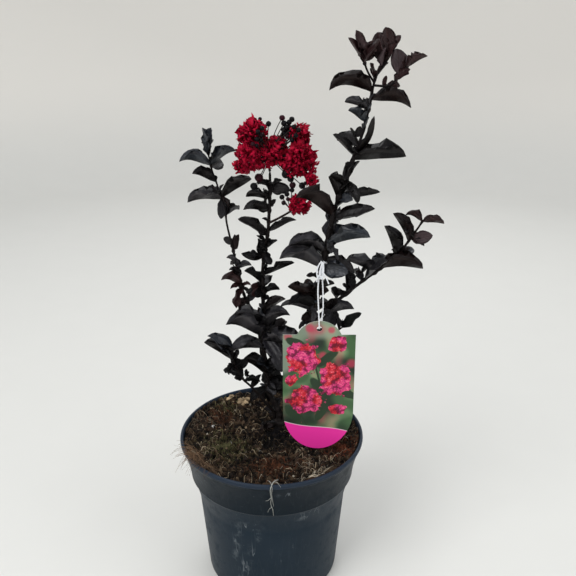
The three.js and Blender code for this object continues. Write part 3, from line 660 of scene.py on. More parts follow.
def compostHeight(spots):
    # level in the middle, higher at the wall, with broad lumps, a few heaps and the relief
    x, y = spots[..., 0], spots[..., 1]
    lumpWide, lumpHigh = compost["lumps"]
    height = compost["top"] + compost["edgeRise"] * ease(np.hypot(x, y), *compost["edge"])
    height = height + lumpHigh * (cloud(spots / lumpWide, 3) - 0.5) * 2
    for centreX, centreY, reach, extra in compost["heaped"]:
        height = height + extra * np.exp(-((x - centreX) ** 2 + (y - centreY) ** 2) / (2 * reach**2))
    return height + compostRelief(spots)


def makeCompostMaterial():
    shader = Shader("compost")
    place = shader.place()
    fine = shader.noise(place, 560, 6, 0.75)
    patch = shader.noise(place, 60, 4, 0.6)
    # the tone is the relief's height: the colour runs dark in the hollows, a painted shade, and pale on the
    # crests, where the rust and moss also lie
    crestAndHollowShade = shader.tone()
    stops = [(0.44, compost["dark"]), (0.68, compost["brown"]), (0.98, compost["light"])]
    first, second = (shader.spot(*spot) for spot in compost["mossy"])
    base = shader.layered(
        shader.ramp(crestAndHollowShade * 0.55 + fine * 0.75, stops),
        (compost["rust"], shader.between(patch, 0.52, 0.75) * fine * 0.8 * crestAndHollowShade),
        (compost["dark"], shader.spot(*compost["shaded"]) * 0.75),
        (compost["moss"], (first + second) * shader.between(fine, 0.40, 0.65) * crestAndHollowShade),
    )
    return shader.finish(base, 0.95, fine + patch * 0.4, 2.2, Specular_IOR_Level=0.15)


def makeCompost():
    # a plug that follows the inside of the wall, under rings whose points take the height of the relief
    line = wallLine(0.3)
    outerRadius = np.interp(compost["top"], line[:, 1], line[:, 0]) - 0.1
    side = line[line[:, 1] < compost["top"] - 7]
    rings = outerRadius * np.linspace(1, 0.012, compost["rings"]) ** 0.9
    top = np.stack([rings, np.full(len(rings), compost["top"])], axis=1)
    profile = np.vstack([side[0] * [(0, 1), (0.5, 1)], side, top, [(0, compost["top"])]])
    shape = turned(profile, compost["spokes"])
    points = shape["points"]
    upper = points[:, 2] > compost["top"] - 0.1
    points[upper, 2] = compostHeight(points[upper, :2])
    # each top point's tone is the height of the relief, by which the material paints shade in the hollows
    shape["tone"] = np.zeros(len(points))
    shape["tone"][upper] = ease(compostRelief(points[upper, :2]), -2.4, 2.2)
    addPiece("compost_bed", shape, [makeCompostMaterial()], ["soil"])


makeCompost()


litter = {
    "steps": 7,
    "nearWall": 1.5,  # how far from the wall the fibres stop
    "wide": 60,  # a reach above this one means spread evenly, and a lesser one thicker in the middle
    "rimEdge": (82, 91),  # between these distances a fibre that crosses the lip comes to lie on it
    "droopFrom": 97,
    "furthest": 110,
    "seed": 21,
    # kind: how many, length, radius, lift over the compost, curl, middle and reach of where it lies, colour
    "kinds": {
        "darkFibre": (760, (4, 13), 0.46, 2.8, 1.5, (0, 0), 89, (0.0050, 0.0036, 0.0030)),
        "blackLitter": (240, (5, 14), 0.60, 2.6, 1.2, (4, -4), 26, (0.0040, 0.0030, 0.0040)),
        "brownFibre": (560, (5, 15), 0.34, 2.8, 1.3, (0, 0), 89, (0.036, 0.020, 0.011)),
        "tanFibre": (420, (4, 14), 0.30, 3.2, 1.3, (0, 0), 89, (0.20, 0.14, 0.085)),
        "strawFibre": (230, (4, 15), 0.34, 3.4, 1.5, (0, -6), 87, (0.46, 0.37, 0.25)),
        "redFibre": (330, (5, 13), 0.34, 2.8, 1.5, (6, -60), 26, (0.12, 0.044, 0.020)),
        "rustFibre": (300, (5, 14), 0.34, 3.2, 1.4, (70, -26), 22, (0.16, 0.045, 0.020)),
        "russetFibre": (220, (5, 13), 0.32, 3.0, 1.4, (-56, 34), 24, (0.11, 0.045, 0.022)),
        "paleRoot": (28, (8, 20), 0.30, 3.4, 0.9, (36, -60), 36, (0.48, 0.41, 0.31)),
        "rimRoot": (20, (12, 28), 0.32, 2.2, 0.6, (34, -80), 24, (0.46, 0.40, 0.31)),
        "mossFibre": (760, (2, 5), 0.36, 3.0, 1.4, (-48, -26), 25, (0.105, 0.098, 0.042)),
        "mossTuft": (260, (2, 5), 0.34, 2.6, 1.4, (-52, 52), 15, (0.130, 0.118, 0.055)),
        "wispFibre": (105, (9, 24), 0.21, 4.6, 1.1, (-76, -47), 12, (0.24, 0.145, 0.085)),
        "rimHair": (100, (8, 21), 0.17, 3.0, 1.4, (-67, -62), 17, (0.135, 0.085, 0.052)),
        "paleTangle": (50, (8, 20), 0.24, 2.8, 2.0, (-74, 26), 22, (0.26, 0.21, 0.15)),
    },
    "overRim": ("wispFibre", "rimHair"),  # these lie across the lip and droop outside it
    "alongWall": ("rimRoot",),
}


def makeFibre(name, colour):
    # mottled, paler where the tone is high and darker where it is low; a fibre in a hollow of the compost
    # has its tone lowered, so its dark there is painted shade
    shader = Shader(name)
    mottle, tone = shader.noise(shader.place(), 260, 3), shader.tone()
    darkest, deep, pale = (tuple(min(1, c * times) for c in colour) for times in (0.2, 0.4, 1.9))
    high, low = shader.between(tone, 0.55, 1.3), shader.between(tone, 0.25, -0.35)
    base = shader.layered(deep, (colour, mottle), (pale, high), (darkest, low))
    return shader.finish(base, 0.85, mottle, 0.2, Specular_IOR_Level=0.2)


def pulledIn(flat, limit):
    # places moved towards the axis until none is further from it than the limit
    away = np.hypot(flat[..., 0], flat[..., 1])
    return flat * np.minimum(1, limit / np.maximum(away, 1))[..., None]


def fibres(draw, kind, pick):
    # a fibre starts somewhere on the compost, turns evenly as it goes, and arches over the surface
    count, lengths, radius, lift, curl, middle, reach, _ = litter["kinds"][kind]
    overRim = kind in litter["overRim"]
    limit = pot["rim"] - pot["lipWidth"] - litter["nearWall"]
    steps = litter["steps"]
    part = np.linspace(0, 1, steps)
    angle, away = draw.uniform(0, 2 * math.pi, count), draw.uniform(0, 1, count)
    away = reach * (np.sqrt(away) if reach > litter["wide"] else np.abs(draw.normal(0, 0.55, count)))
    start = pulledIn(polar(away, angle) + middle, limit - 3)
    heading, turning = draw.uniform(0, 2 * math.pi, count), draw.normal(0, curl, count)
    outward = np.arctan2(start[:, 1], start[:, 0])
    if overRim:
        heading = outward + (heading - math.pi) * 0.55
    if kind in litter["alongWall"]:
        heading = outward + math.pi / 2 + (heading - math.pi) * 0.12
    length = draw.uniform(*lengths, count)
    step = polar((length / (steps - 1))[:, None], heading[:, None] + turning[:, None] * part)
    flat = start[:, None] + np.cumsum(step, axis=1) - step
    if not overRim:
        flat = pulledIn(flat, limit)
    peak = draw.uniform(0.6, 1.6, count)[:, None]
    arch = lift * draw.uniform(0.1, 1, count)[:, None] * np.sin(math.pi * part**peak)
    lean = draw.uniform(-0.4, 1.2, count)[:, None] * lift * 0.5 * part
    height = compostHeight(flat)
    if overRim:
        outside = np.hypot(flat[..., 0], flat[..., 1])
        flat = pulledIn(flat, litter["furthest"])
        over = ease(outside, *litter["rimEdge"])
        height = np.maximum(height * (1 - over), (pot["height"] + 0.5) * over + height * (1 - over))
        droop = 0.07 * np.maximum(outside - litter["droopFrom"], 0) ** 2
        height = height - droop * draw.uniform(0.1, 1, count)[:, None]
    paths = np.concatenate([flat, (height + arch + lean + radius * 0.4)[..., None]], axis=-1)
    thickness = radius * (1.15 - 0.75 * part) * draw.uniform(0.6, 1.25, count)[:, None]
    # the tone is random, and lower for a fibre in the compost's hollows, as painted shade
    hollowShade = 1 - ease(compostRelief(flat[:, steps // 2]), -1.6, 1.2)
    tone = draw.uniform(0, 1, count) - (0 if overRim else 0.7 * hollowShade)
    return tubes(paths, thickness, 3, tone=tone, pick=pick)


def makeLitter():
    draw = np.random.default_rng(litter["seed"])
    shapes = [fibres(draw, kind, pick) for pick, kind in enumerate(litter["kinds"])]
    materials = [makeFibre(kind, row[-1]) for kind, row in litter["kinds"].items()]
    addPiece("compost_fibres", joined(shapes), materials)


makeLitter()


rootThread = {
    # strands of a root that hang over the front of the lip: radius and places
    "strands": [
        (0.50, [(8, -82, 157.5), (4, -91, 162), (1.4, -95.9, 159.5), (0.6, -95.4, 154), (1.4, -91.6, 144),
                (0.8, -88.8, 135), (2.6, -86.9, 127), (3.2, -85.6, 119)]),
        (0.38, [(-2, -84, 158), (1, -92, 161.5), (2.4, -95.8, 158), (1.8, -94.2, 151), (2.4, -90.9, 142),
                (3.4, -88.2, 132)]),
        (0.26, [(1.4, -91.9, 145), (-1.6, -90.4, 140.5), (-4.2, -89.3, 139)]),
        (0.24, [(2.0, -88.0, 131), (-0.8, -87.4, 128), (-2.2, -86.8, 124)]),
        (0.27, [(4, -91, 162), (7.4, -94.0, 162.5), (10.4, -95.6, 159)]),
    ],
    "steps": 26,
    "taper": (1.1, 0.45),
    "colour": (0.44, 0.45, 0.42),
}


def makeRootThread():
    part = np.linspace(0, 1, rootThread["steps"])
    paths = np.array([throughKnots(strand, part) for _, strand in rootThread["strands"]])
    radii = np.array([[radius] for radius, _ in rootThread["strands"]])
    taper = np.linspace(*rootThread["taper"], rootThread["steps"])
    shape = tubes(paths, radii * taper, 6, reference=np.array([[[1.0, 0.1, 0.05]]]))
    addPiece("root_thread", shape, [makeFibre("paleThreadRoot", rootThread["colour"])])


makeRootThread()


crumbs = {
    # kind: how many, radius, middle and reach of where it lies, flatness, sink, colour
    "kinds": {
        "peatCrumb": (950, (0.8, 2.4), (0, 0), 88, 0.7, 0.2, (0.016, 0.010, 0.007)),
        "barkCrumb": (300, (1.0, 3.2), (0, 0), 86, 0.45, 0.1, (0.050, 0.030, 0.018)),
        "tanCrumb": (150, (0.7, 1.9), (0, 0), 87, 0.5, -0.1, (0.17, 0.12, 0.075)),
        "tanChip": (30, (1.6, 3.8), (-34, 64), 10, 0.40, -0.3, (0.34, 0.25, 0.15)),
        "paleGrit": (44, (0.5, 1.1), (0, 0), 86, 0.8, -0.2, (0.42, 0.38, 0.31)),
    },
    "seed": 33,
    "sides": 6,
    "belts": (0.35, 0.85, 1, 0.85, 0.35),  # their radii over the widest
    # white grains: x, y and radius
    "perlite": [
        (-63.3, 14.6, 2.1), (-41.8, -13.9, 2.2), (-44.7, 38.9, 1.7), (-11.3, -30.1, 1.3), (52, 34, 2.0),
        (18, 62, 1.6),
    ],
    "perliteFlatness": 0.9,
    "perliteLift": 0.6,
    "perliteShade": (0.42, 0.40, 0.37),
    "perliteWhite": (0.72, 0.72, 0.70),
}


def lumps(spots, radii, flatness, lift, draw):
    # rounded stones on the compost, in a few belts, each pushed in and out at random
    belts = np.array(crumbs["belts"])
    centres = np.column_stack([spots, compostHeight(spots) + lift])
    rise = np.linspace(-1, 1, len(belts))[:, None] * (0, 0, 1) * (radii * flatness)[:, None, None]
    relief = draw.uniform(0.72, 1.2, (len(spots), len(belts), crumbs["sides"]))
    return centres[:, None] + rise, radii[:, None] * belts, relief


def makeCrumbs():
    draw = np.random.default_rng(crumbs["seed"])
    sides = crumbs["sides"]
    shapes, materials = [], []
    for kind, (count, sizes, middle, reach, flatness, sink, colour) in crumbs["kinds"].items():
        angle = draw.uniform(0, 2 * math.pi, count)
        even = reach > litter["wide"]
        away = reach * (np.sqrt(draw.uniform(0, 1, count)) if even else np.abs(draw.normal(0, 0.6, count)))
        radii = draw.uniform(*sizes, count)
        paths, width, relief = lumps(polar(away, angle) + middle, radii, flatness, -sink * radii, draw)
        tilt = (paths - paths.mean(axis=1, keepdims=True))[..., 2:] * draw.normal(0, 0.5, (count, 1, 3))
        tone = draw.uniform(0, 1, count)
        shapes.append(tubes(paths + tilt * (1, 1, 0), width, sides, relief, tone, len(materials)))
        materials.append(makeFibre(kind, colour))
    addPiece("compost_crumbs", joined(shapes), materials, smooth=False)
    *spots, radii = np.array(crumbs["perlite"]).T
    grains = lumps(np.stack(spots, axis=1), radii, crumbs["perliteFlatness"], crumbs["perliteLift"], draw)
    shader = Shader("perlite")
    pores = shader.noise(shader.place(), 900, 4)
    colour = shader.mix(crumbs["perliteShade"], crumbs["perliteWhite"], pores)
    shape = tubes(grains[0], grains[1], sides, grains[2])
    addPiece("perlite_grains", shape, [shader.finish(colour, 0.8, pores, 0.4)])


makeCrumbs()
print("pot and compost ready")


# The plant's rule, as in the source: stems through knots, stretches of them that carry leaves, and seeded
# leaves that fill the back where they find room.

rule = {
    "gap": 0.3,
    "roomBetween": 7.5,
    "roomInMass": 4.0,
    "rootPoints": 3,  # test points at a leaf's foot, which stand too near its stem to be claimed
    "asides": (0, 25, -25, 50),  # turns that a leaf without room tries
    "shares": (0.08, 0.88),  # of a stretch that carries seeded leaves: start and length
    "firstSeed": 7,
    "stumpTop": 163.0,
    "limbPoints": 25,
    "stretchPoints": 13,
}
foot = rule["stumpTop"] + rule["gap"]

# Kinds of blade: the fold of each half, the lean of the face to the front, and the width over the length
trough, narrow, facing = (58, 6, 0.66), (55, 4, 0.38), (18, 58, 0.58)
half, shut, flat = (38, 30, 0.5), (70, 0, 0.4), (16, 0, 0.66)
broad, slender = (24, 44, 0.66), (30, 46, 0.42)
extraKinds = [trough, trough, half, facing]

stems = {
    "flower": {"radii": (2.9, 1.2), "route": [
        (8, 15.5, foot), (7.4, 16, 173), (-2, 20, 192), (-7, 20, 230), (-8, 20, 265), (-8, 20, 300),
        (-8, 20, 328), (-6, 20, 347), (-3, 20, 365), (-1, 20, 389), (0, 20, 410), (0, 20, 428),
    ]},
    "right": {"radii": (3.4, 0.9), "route": [
        (15, 14.5, foot), (15.4, 13.8, 173), (19, 8, 195), (25, 1, 235), (32, -5, 264), (37, -11, 286),
        (42, -16, 308), (46, -21, 335), (51, -24, 364), (56, -25, 390), (60, -25, 408), (68, -24, 429),
        (74, -22, 448), (80, -20, 465), (84, -19, 480), (87, -18, 496), (89, -17, 507), (92, -16, 518),
        (98, -15, 526), (104, -14, 537),
    ]},
    "left": {"radii": (2.1, 0.55), "route": [
        (7.5, 24, foot), (6.5, 24.6, 173), (-3, 27, 194), (-10, 30, 231), (-15, 34, 268), (-22, 36, 284),
        (-28, 37, 297), (-34, 40, 321), (-39, 42, 347), (-44, 44, 370), (-46, 45, 388), (-53, 45, 412),
        (-58, 45, 429), (-61, 45, 448),
    ]},
    "lowLeft": {"radii": (1.4, 0.8), "route": [
        (2.6, 18.5, foot), (1.6, 18, 171), (-8, 13, 187), (-20, 9, 205), (-31, 4, 221), (-42, -1, 250),
    ]},
    "back": {"radii": (2.2, 0.9), "route": [
        (14.5, 23, foot), (14.5, 23.4, 172), (11, 33, 192), (3, 43, 218), (-4, 49, 243), (-8, 51, 268),
        (-9, 52, 288),
    ]},
    "backRight": {"from": "right", "at": 2.2, "radii": (1.6, 0.9), "route": [
        (32, 17, 216), (44, 30, 233), (53, 40, 250),
    ]},
    "skirt": {"from": "right", "at": 3.35, "radii": (1.4, 0.9), "route": [
        (38, 4, 252), (50, 6, 261), (72, 10, 273),
    ]},
    "branch": {"from": "right", "at": 4.75, "radii": (2, 0.9), "route": [
        (42, -5, 285), (48, -4, 291), (61, -2, 303), (79, 2, 317), (96, 6, 329), (118, 10, 344),
        (129, 12, 357), (138, 13, 370), (146, 14, 383),
    ]},
}

limbs = {
    "stem_flower": ("flower", (0, 2)),
    "stem_right": ("right", (0, 5)),
    "stem_left": ("left", (0, 5)),
    "stem_low_left": ("lowLeft", (0, 2)),
    "stem_back": ("back", (0, 3)),
    "bough_right": ("branch", (0, 2)),
}

# A mass is a stretch of a stem with its leaves. A leaf is (share along the stretch, compass turn, rise,
# length, bend, kind), and a seventh word gives it a tint of its own. extra is how many seeded leaves, and
# their length, and more is the leaves that the solids don't carry.
masses = {
    "foliage_flower_low": {"stem": "flower", "span": (2, 5), "extra": (9, 38), "leaves": [
        (0.06, 185, -35, 24, 50, half, "deep"), (0.19, 205, 44, 39, 25, trough, "dusk"),
        (0.47, 199, 6, 37, 38, trough, "smoky"), (0.54, 325, 4, 50, 40, trough, "smoky"),
        (0.58, 312, -42, 39, 50, half, "smoky"), (0.59, 212, 36, 53, 10, trough, "smoky"),
        (0.66, 340, 42, 40, 45, trough, "smoky"), (0.74, 206, 26, 37, 30, trough, "smoky"),
    ], "more": [
        (0.02, 330, 20, 20, 30, half), (0.12, 300, -10, 18, 30, facing), (0.3, 330, 10, 24, 30, half),
        (0.22, 330, 52, 25, 20, facing, "deep"), (0.13, 320, 6, 23, 20, facing, "deep"),
        (0.04, 20, 40, 24, 20, facing, "deep"), (0.1, 60, 30, 26, 20, facing, "deep"),
        (0.85, 260, 20, 16, 20, facing), (0.35, 240, 10, 15, 30, facing),
    ]},
    "foliage_flower_mid": {"stem": "flower", "span": (5, 8), "extra": (5, 28), "tint": "deep", "leaves": [
        (0.06, 190, 12, 18, 40, half), (0.06, 340, 22, 20, 40, trough), (0.1, 240, -5, 15, 40, facing),
        (0.17, 200, 43, 26, 25, trough), (0.28, 350, 27, 36, 10, narrow),
        (0.62, 195, 18, 27, -95, trough), (0.9, 175, 35, 12, 20, half),
    ], "more": [
        (0.07, 210, 39, 18, 20, facing, "young"), (0.1, 230, -2, 17, 20, facing, "young"),
        (0.02, 300, 10, 14, 20, half), (0.6, 200, 50, 12, -20, half), (0.55, 340, 40, 9, 20, half),
        (0.7, 300, -30, 16, 20, facing), (0.76, 250, 20, 12, 20, facing), (0.82, 330, 60, 12, 20, half),
    ]},
    "foliage_flower_top": {"stem": "flower", "span": (8, 11), "extra": (4, 26), "tint": "dusk", "leaves": [
        (0.0, 188, 36, 35, -5, half), (0.06, 6, 29, 32, -5, narrow), (0.36, 195, 12, 26, 5, trough),
        (0.52, 190, 12, 24, 40, trough), (0.62, 150, 45, 18, 120, half),
        (0.66, 350, 8, 20, 50, facing, "dusk"),
    ], "more": [
        (0.7, 205, 25, 16, 90, half), (0.2, 200, 40, 9, 20, half), (0.42, 350, 50, 10, 20, facing),
    ]},
    "foliage_right_low": {"stem": "right", "span": (5, 7), "extra": (5, 34), "leaves": [
        (0.1, 200, -30, 13, 40, half), (0.34, 190, 20, 34, 30, shut), (0.44, 214, 25, 32, 20, trough),
        (0.52, 350, 20, 14, 10, trough), (0.61, 198, 30, 32, 10, trough), (0.82, 340, 28, 19, 20, trough),
    ], "more": [
        (0.7, 200, 20, 16, 30, half), (0.25, 230, 0, 16, 30, facing), (0.5, 260, -30, 18, 30, facing),
        (0.75, 330, 30, 15, 20, facing), (0.3, 20, 30, 18, 30, half),
    ]},
    "foliage_right_mid": {"stem": "right", "span": (7, 10), "extra": (6, 36), "leaves": [
        (0.13, 200, 25, 46, 30, trough, "smoky"), (0.15, 330, -2, 27, 20, facing, "cool"),
        (0.22, 352, -14, 30, 30, half, "dusk"), (0.31, 192, 19, 37, 40, trough, "smoky"),
        (0.32, 330, 45, 16, 20, half), (0.39, 346, 17, 42, 30, trough), (0.74, 340, 20, 41, -20, half),
        (0.76, 200, 37, 45, 20, trough, "brown"),
    ], "more": [
        (0.95, 330, 39, 16, 20, half), (0.45, 330, -58, 20, 20, narrow), (0.5, 300, -68, 15, 20, half),
        (0.04, 200, 10, 14, 30, half),
    ]},
    "foliage_right_high": {"stem": "right", "span": (10, 13), "extra": (5, 34), "tint": "dusk", "leaves": [
        (0.06, 200, 66, 24, 10, trough), (0.08, 320, 10, 16, 40, facing, "cool"),
        (0.1, 330, 60, 21, 20, half), (0.12, 355, 8, 36, -20, shut), (0.34, 20, 55, 22, 10, shut),
        (0.32, 320, -52, 22, 25, half), (0.64, 350, 5, 46, 15, trough), (0.7, 192, 45, 28, 10, half),
        (0.76, 340, 64, 37, -70, narrow, "dusk"),
    ], "more": [
        (0.61, 240, -44, 19, 25, trough), (0.9, 195, 55, 7, 20, half), (0.2, 215, 48, 23, 30, trough),
        (0.27, 165, 60, 12, 20, half), (0.3, 240, 30, 10, 20, facing), (0.24, 330, 30, 11, 20, facing),
    ]},
    "foliage_right_upper": {"stem": "right", "span": (13, 16), "extra": (4, 30), "leaves": [
        (0.3, 205, 37, 22, 5, trough, "cool"), (0.5, 190, 21, 23, 40, trough),
        (0.69, 345, -1, 35, 20, trough, "brown"), (0.88, 190, 11, 39, 46, trough, "brown"),
    ], "more": [
        (0.15, 335, 70, 14, 10, half, "cool"), (0.62, 20, 60, 12, 20, half),
        (0.35, 350, 74, 15, 5, narrow), (0.55, 350, 74, 14, 5, narrow),
    ]},
    "foliage_right_top": {"stem": "right", "span": (16, 19), "extra": (3, 22), "tint": "young", "leaves": [
        (0.18, 215, 67, 16, 15, facing), (0.69, 130, 68, 27, 10, broad),
        (0.57, 290, 73, 20, 10, broad, "rosy"), (0.96, 20, 60, 17, 10, half),
        (0.93, 168, 77, 23, 5, facing),
    ], "more": [
        (0.86, 200, 66, 18, 10, facing), (0.8, 320, 62, 18, 10, facing), (0.6, 150, 55, 18, 20, half),
        (0.25, 20, 50, 18, 10, shut),
    ], "twigs": [
        {"route": [(90, -17, 511), (84, -19, 520), (80, -20, 529)], "radii": (1, 0.8), "leaves": [
            (0.9, 310, 47, 25, 15, broad), (0.9, 190, 54, 25, 10, half), (0.96, 150, 71, 26, 10, half),
        ], "more": [(0.95, 20, 60, 20, 20, facing)]},
        {"route": [(89.5, -17, 509), (102, -20, 509), (110, -21, 516), (118, -21, 528)],
         "radii": (1.1, 0.8), "leaves": [
            (0.22, 40, 76, 10, 10, half), (0.28, 20, 12, 13, 10, facing), (0.48, 330, 42, 19, 10, broad),
            (0.71, 105, 66, 25, 10, flat, "rosy"), (0.85, 60, 86, 14, 5, shut),
            (0.88, 355, 33, 21, 15, trough),
        ], "more": [(0.66, 300, 20, 14, 10, broad)]},
    ]},
    "foliage_branch_low": {"stem": "branch", "span": (2, 4), "extra": (3, 26), "leaves": [
        (0.06, 350, 20, 34, 10, trough, "smoky"), (0.4, 330, -65, 24, 10, narrow),
        (0.55, 190, -10, 12, 20, facing), (0.84, 170, 86, 25, 10, half, "deep"),
    ], "more": [
        (0.96, 150, 80, 24, 10, half, "deep"), (0.9, 200, 84, 24, 10, facing, "deep"),
        (0.8, 200, 40, 10, 30, facing), (0.86, 330, 60, 9, 30, half), (0.3, 20, 60, 14, 20, half),
    ]},
    "foliage_branch_tip": {"stem": "branch", "span": (4, 9), "extra": (6, 30), "leaves": [
        (0.24, 198, 28, 34, 30, trough, "smoky"), (0.29, 350, 2, 42, 52, trough, "brown"),
        (0.44, 165, 69, 35, 10, trough, "dusk"), (0.72, 340, 18, 22, -10, facing, "rosy"),
        (0.74, 330, -18, 14, 10, half), (0.68, 165, 59, 32, 20, trough, "brown"),
        (0.97, 170, 30, 19, 40, trough, "young"), (0.97, 350, 1, 21, 30, trough, "young"),
    ], "more": [(0.15, 330, 48, 34, 10, half, "smoky"), (0.5, 350, 30, 12, 20, half)]},
    "foliage_right_skirt": {"stem": "skirt", "span": (0, 3), "extra": (3, 28), "leaves": [
        (0.8, 60, 50, 30, 40, trough), (0.98, 350, 44, 27, 10, slender, "green"),
    ]},
    "foliage_left_mid": {"stem": "left", "span": (5, 9), "extra": (6, 24), "leaves": [
        (0.34, 250, -50, 23, 10, trough, "young"), (0.35, 200, 33, 26, 40, trough, "young"),
        (0.35, 215, 14, 14, 40, half, "young"), (0.47, 200, 42, 14, 50, trough),
        (0.54, 340, 24, 18, 10, trough), (0.52, 200, 58, 22, 45, trough),
        (0.71, 40, 66, 19, 5, half, "brown"), (0.71, 75, 70, 17, 5, half, "brown"),
    ], "more": [
        (0.2, 240, -20, 14, 30, facing, "young"), (0.36, 330, 25, 13, 20, half, "young"),
        (0.1, 200, 20, 15, 30, half),
    ]},
    "foliage_left_top": {"stem": "left", "span": (9, 13), "extra": (5, 28), "leaves": [
        (0.325, 195, 2, 35, 35, trough, "smoky"), (0.34, 250, -80, 19, 20, facing, "smoky"),
        (0.34, 345, 32, 37, 20, trough, "dusk"), (0.355, 320, -40, 13, 20, trough),
        (0.505, 215, 30, 30, 5, trough, "dusk"), (0.745, 15, 34, 31, 20, trough, "cool"),
        (0.745, 200, 20, 33, 20, trough, "cool"), (0.91, 20, 82, 29, -10, half, "cool"),
        (0.91, 200, 80, 28, -10, half, "cool"),
    ], "more": [(0.9, 280, 75, 18, 10, facing, "cool")]},
    "foliage_low_left": {"stem": "lowLeft", "span": (2, 5), "extra": (3, 22), "tint": "deep", "leaves": [
        (0.33, 30, 50, 17, 30, half), (0.55, 350, 15, 16, 10, trough), (0.74, 70, 60, 14, 10, half),
        (0.88, 215, -65, 13, 10, trough), (0.9, 198, 40, 37, 15, trough, "dusk"),
        (0.93, 193, 53, 39, 18, half, "cool"),
    ], "more": [
        (0.73, 120, 70, 19, 15, facing), (0.76, 210, 46, 15, 15, half), (0.62, 210, 30, 11, 20, facing),
        (0.85, 330, 40, 12, 20, facing), (0.9, 300, 50, 16, 20, facing), (0.8, 20, 30, 15, 20, facing),
    ]},
    "foliage_back": {"stem": "back", "span": (3, 6), "extra": (13, 36), "around": True, "leaves": []},
    "foliage_back_right": {
        "stem": "backRight", "span": (0, 3), "extra": (10, 30), "around": True, "leaves": [],
    },
}

# Lobes and bridges are heads of flowers, as (centre, radius, count), and buds are (x, y, z, radius). They
# all stand on stalks from the tip of the bunch's own. The solids don't carry the bridges, which are small.
blossom = {
    "blossom_panicle": {"route": [(0, 20, 428.3), (-1, 20, 436), (-1, 20, 443)], "lobes": [
        ((-16, 18, 463), 14, 8), ((-19, 12, 441), 14.5, 8), ((3, 22, 448), 13.5, 7),
        ((27, 26, 462), 11, 6), ((28, 15, 441), 15, 8), ((39, 9, 421.5), 7.5, 4),
    ], "bridges": [
        ((-18, 14, 453), 9, 3), ((-10, 17, 452), 10, 4), ((-7, 13, 441), 10, 4), ((14, 19, 441), 10, 4),
        ((10, 22, 455), 8, 2), ((20, 13, 433), 9, 3), ((28, 21, 450), 8, 2), ((-27, 9, 435), 8, 3),
        ((36, 12, 434), 9, 3), ((-12, 20, 470), 8, 3),
    ], "buds": [
        (-0.9, 22, 471.6, 2.6), (11.6, 25, 476.6, 2.6), (13.3, 25, 471.6, 2.7), (18, 26, 472.5, 2.4),
        (20.5, 27, 475, 2.5), (15.5, 24, 468, 2.7), (12.4, 25, 466, 2.2), (18.4, 26, 468, 2.2),
        (13.2, 24, 462.4, 2.6), (16.5, 23, 460, 2.4), (10.4, 25, 458.5, 2.4), (14.6, 26, 465, 2.4),
        (11.6, 24, 454.6, 2.4), (17.4, 25, 464, 2.3), (20.5, 18, 461, 2.0), (-6.4, 6, 470, 2.2),
        (-10, 4, 467, 2.2), (-7, 6, 464, 2.4), (-11, 4, 460.5, 2.3), (-14.5, 2, 456.5, 2.2),
        (-11.1, 3, 455, 2.0), (-7.4, 7, 459.5, 2.0), (-10, 14, 423.7, 3.9), (-14.8, 14, 415.5, 3.4),
        (15.1, 15, 427, 4.1), (19.4, 14, 422.6, 3.1), (21.2, 14, 416.6, 3.0), (30.1, 12, 416.6, 3.1),
        (24, 12, 462.5, 2.3), (26.5, 13, 467.5, 2.3), (20.6, 13, 458, 2.0), (22.4, 14, 470, 2.2),
    ]},
    "blossom_low": {
        "from": "flower", "at": 8.55,
        "route": [(7, 14, 384), (14, 10, 389), (20, 9, 393)],
        "lobes": [((27, 8, 400), 11, 6)],
        "bridges": [],
        "buds": [
            (13, 12, 400, 2.2), (16, 13, 408, 2.3), (11.4, 14, 405, 2.4), (20.8, 13, 411.9, 2.4),
            (17, 12, 403.5, 2.0),
        ],
    },
}


def leafLine(feet, leaf, share):
    # the midrib bends evenly in an upright plane from its rise at the foot: where it is at a share of the
    # length, and the directions across the blade and out of its face, leaned to the front
    bending = np.radians(leaf["bend"])
    start = np.radians(leaf["rise"]) + bending / 2
    here = start - bending * share
    out = leaf["length"] * (np.sin(start) - np.sin(here)) / bending
    up = leaf["length"] * (np.cos(here) - np.cos(start)) / bending
    turn = np.radians(leaf["turn"]) + 0 * here
    top = np.array([0, 0, 1])
    heading = np.stack([np.cos(turn), np.sin(turn), 0 * turn], axis=-1)
    level = np.stack([-np.sin(turn), np.cos(turn), 0 * turn], axis=-1)
    middle = feet + heading * out[..., None] + up[..., None] * top
    upright = np.cross(heading * np.cos(here)[..., None] + np.sin(here)[..., None] * top, level)
    lean = (np.radians(leaf["lean"]) * np.where(heading[..., 0] >= 0, 1, -1))[..., None]
    across = level * np.cos(lean) + upright * np.sin(lean)
    return middle, across, upright * np.cos(lean) - level * np.sin(lean)


def testPoints(spot, leaf):
    # points that stand for a leaf when its room is tested: five shares of its length, both margins and
    # the midrib
    share = np.repeat([0.3, 0.5, 0.7, 0.9, 1.0], 3)
    side = np.tile([-1.0, 0.0, 1.0], 5)
    blade = 0.5 * leaf["width"] * leaf["length"] * np.maximum(0, np.sin(np.pi * share**0.88)) ** 0.75
    reach = np.maximum(blade, 0.5 * (1.4 - 0.9 * share)) * side
    middle, across, face = leafLine(spot, leaf, share)
    fold = math.radians(leaf["fold"])
    aside, raised = reach * math.cos(fold), np.abs(reach) * math.sin(fold)
    return middle + across * aside[:, None] + face * raised[:, None]


def bladePoints(spot, leaf):
    # the test points that a leaf claims
    return testPoints(spot, leaf)[rule["rootPoints"]:]


def leafOf(row):
    at, turn, rise, length, bending, (fold, lean, width), *tint = row
    return {"at": at, "turn": turn, "rise": rise, "length": length, "bend": bending,
            "fold": fold, "lean": lean, "width": width, "tint": tint[0] if tint else None}


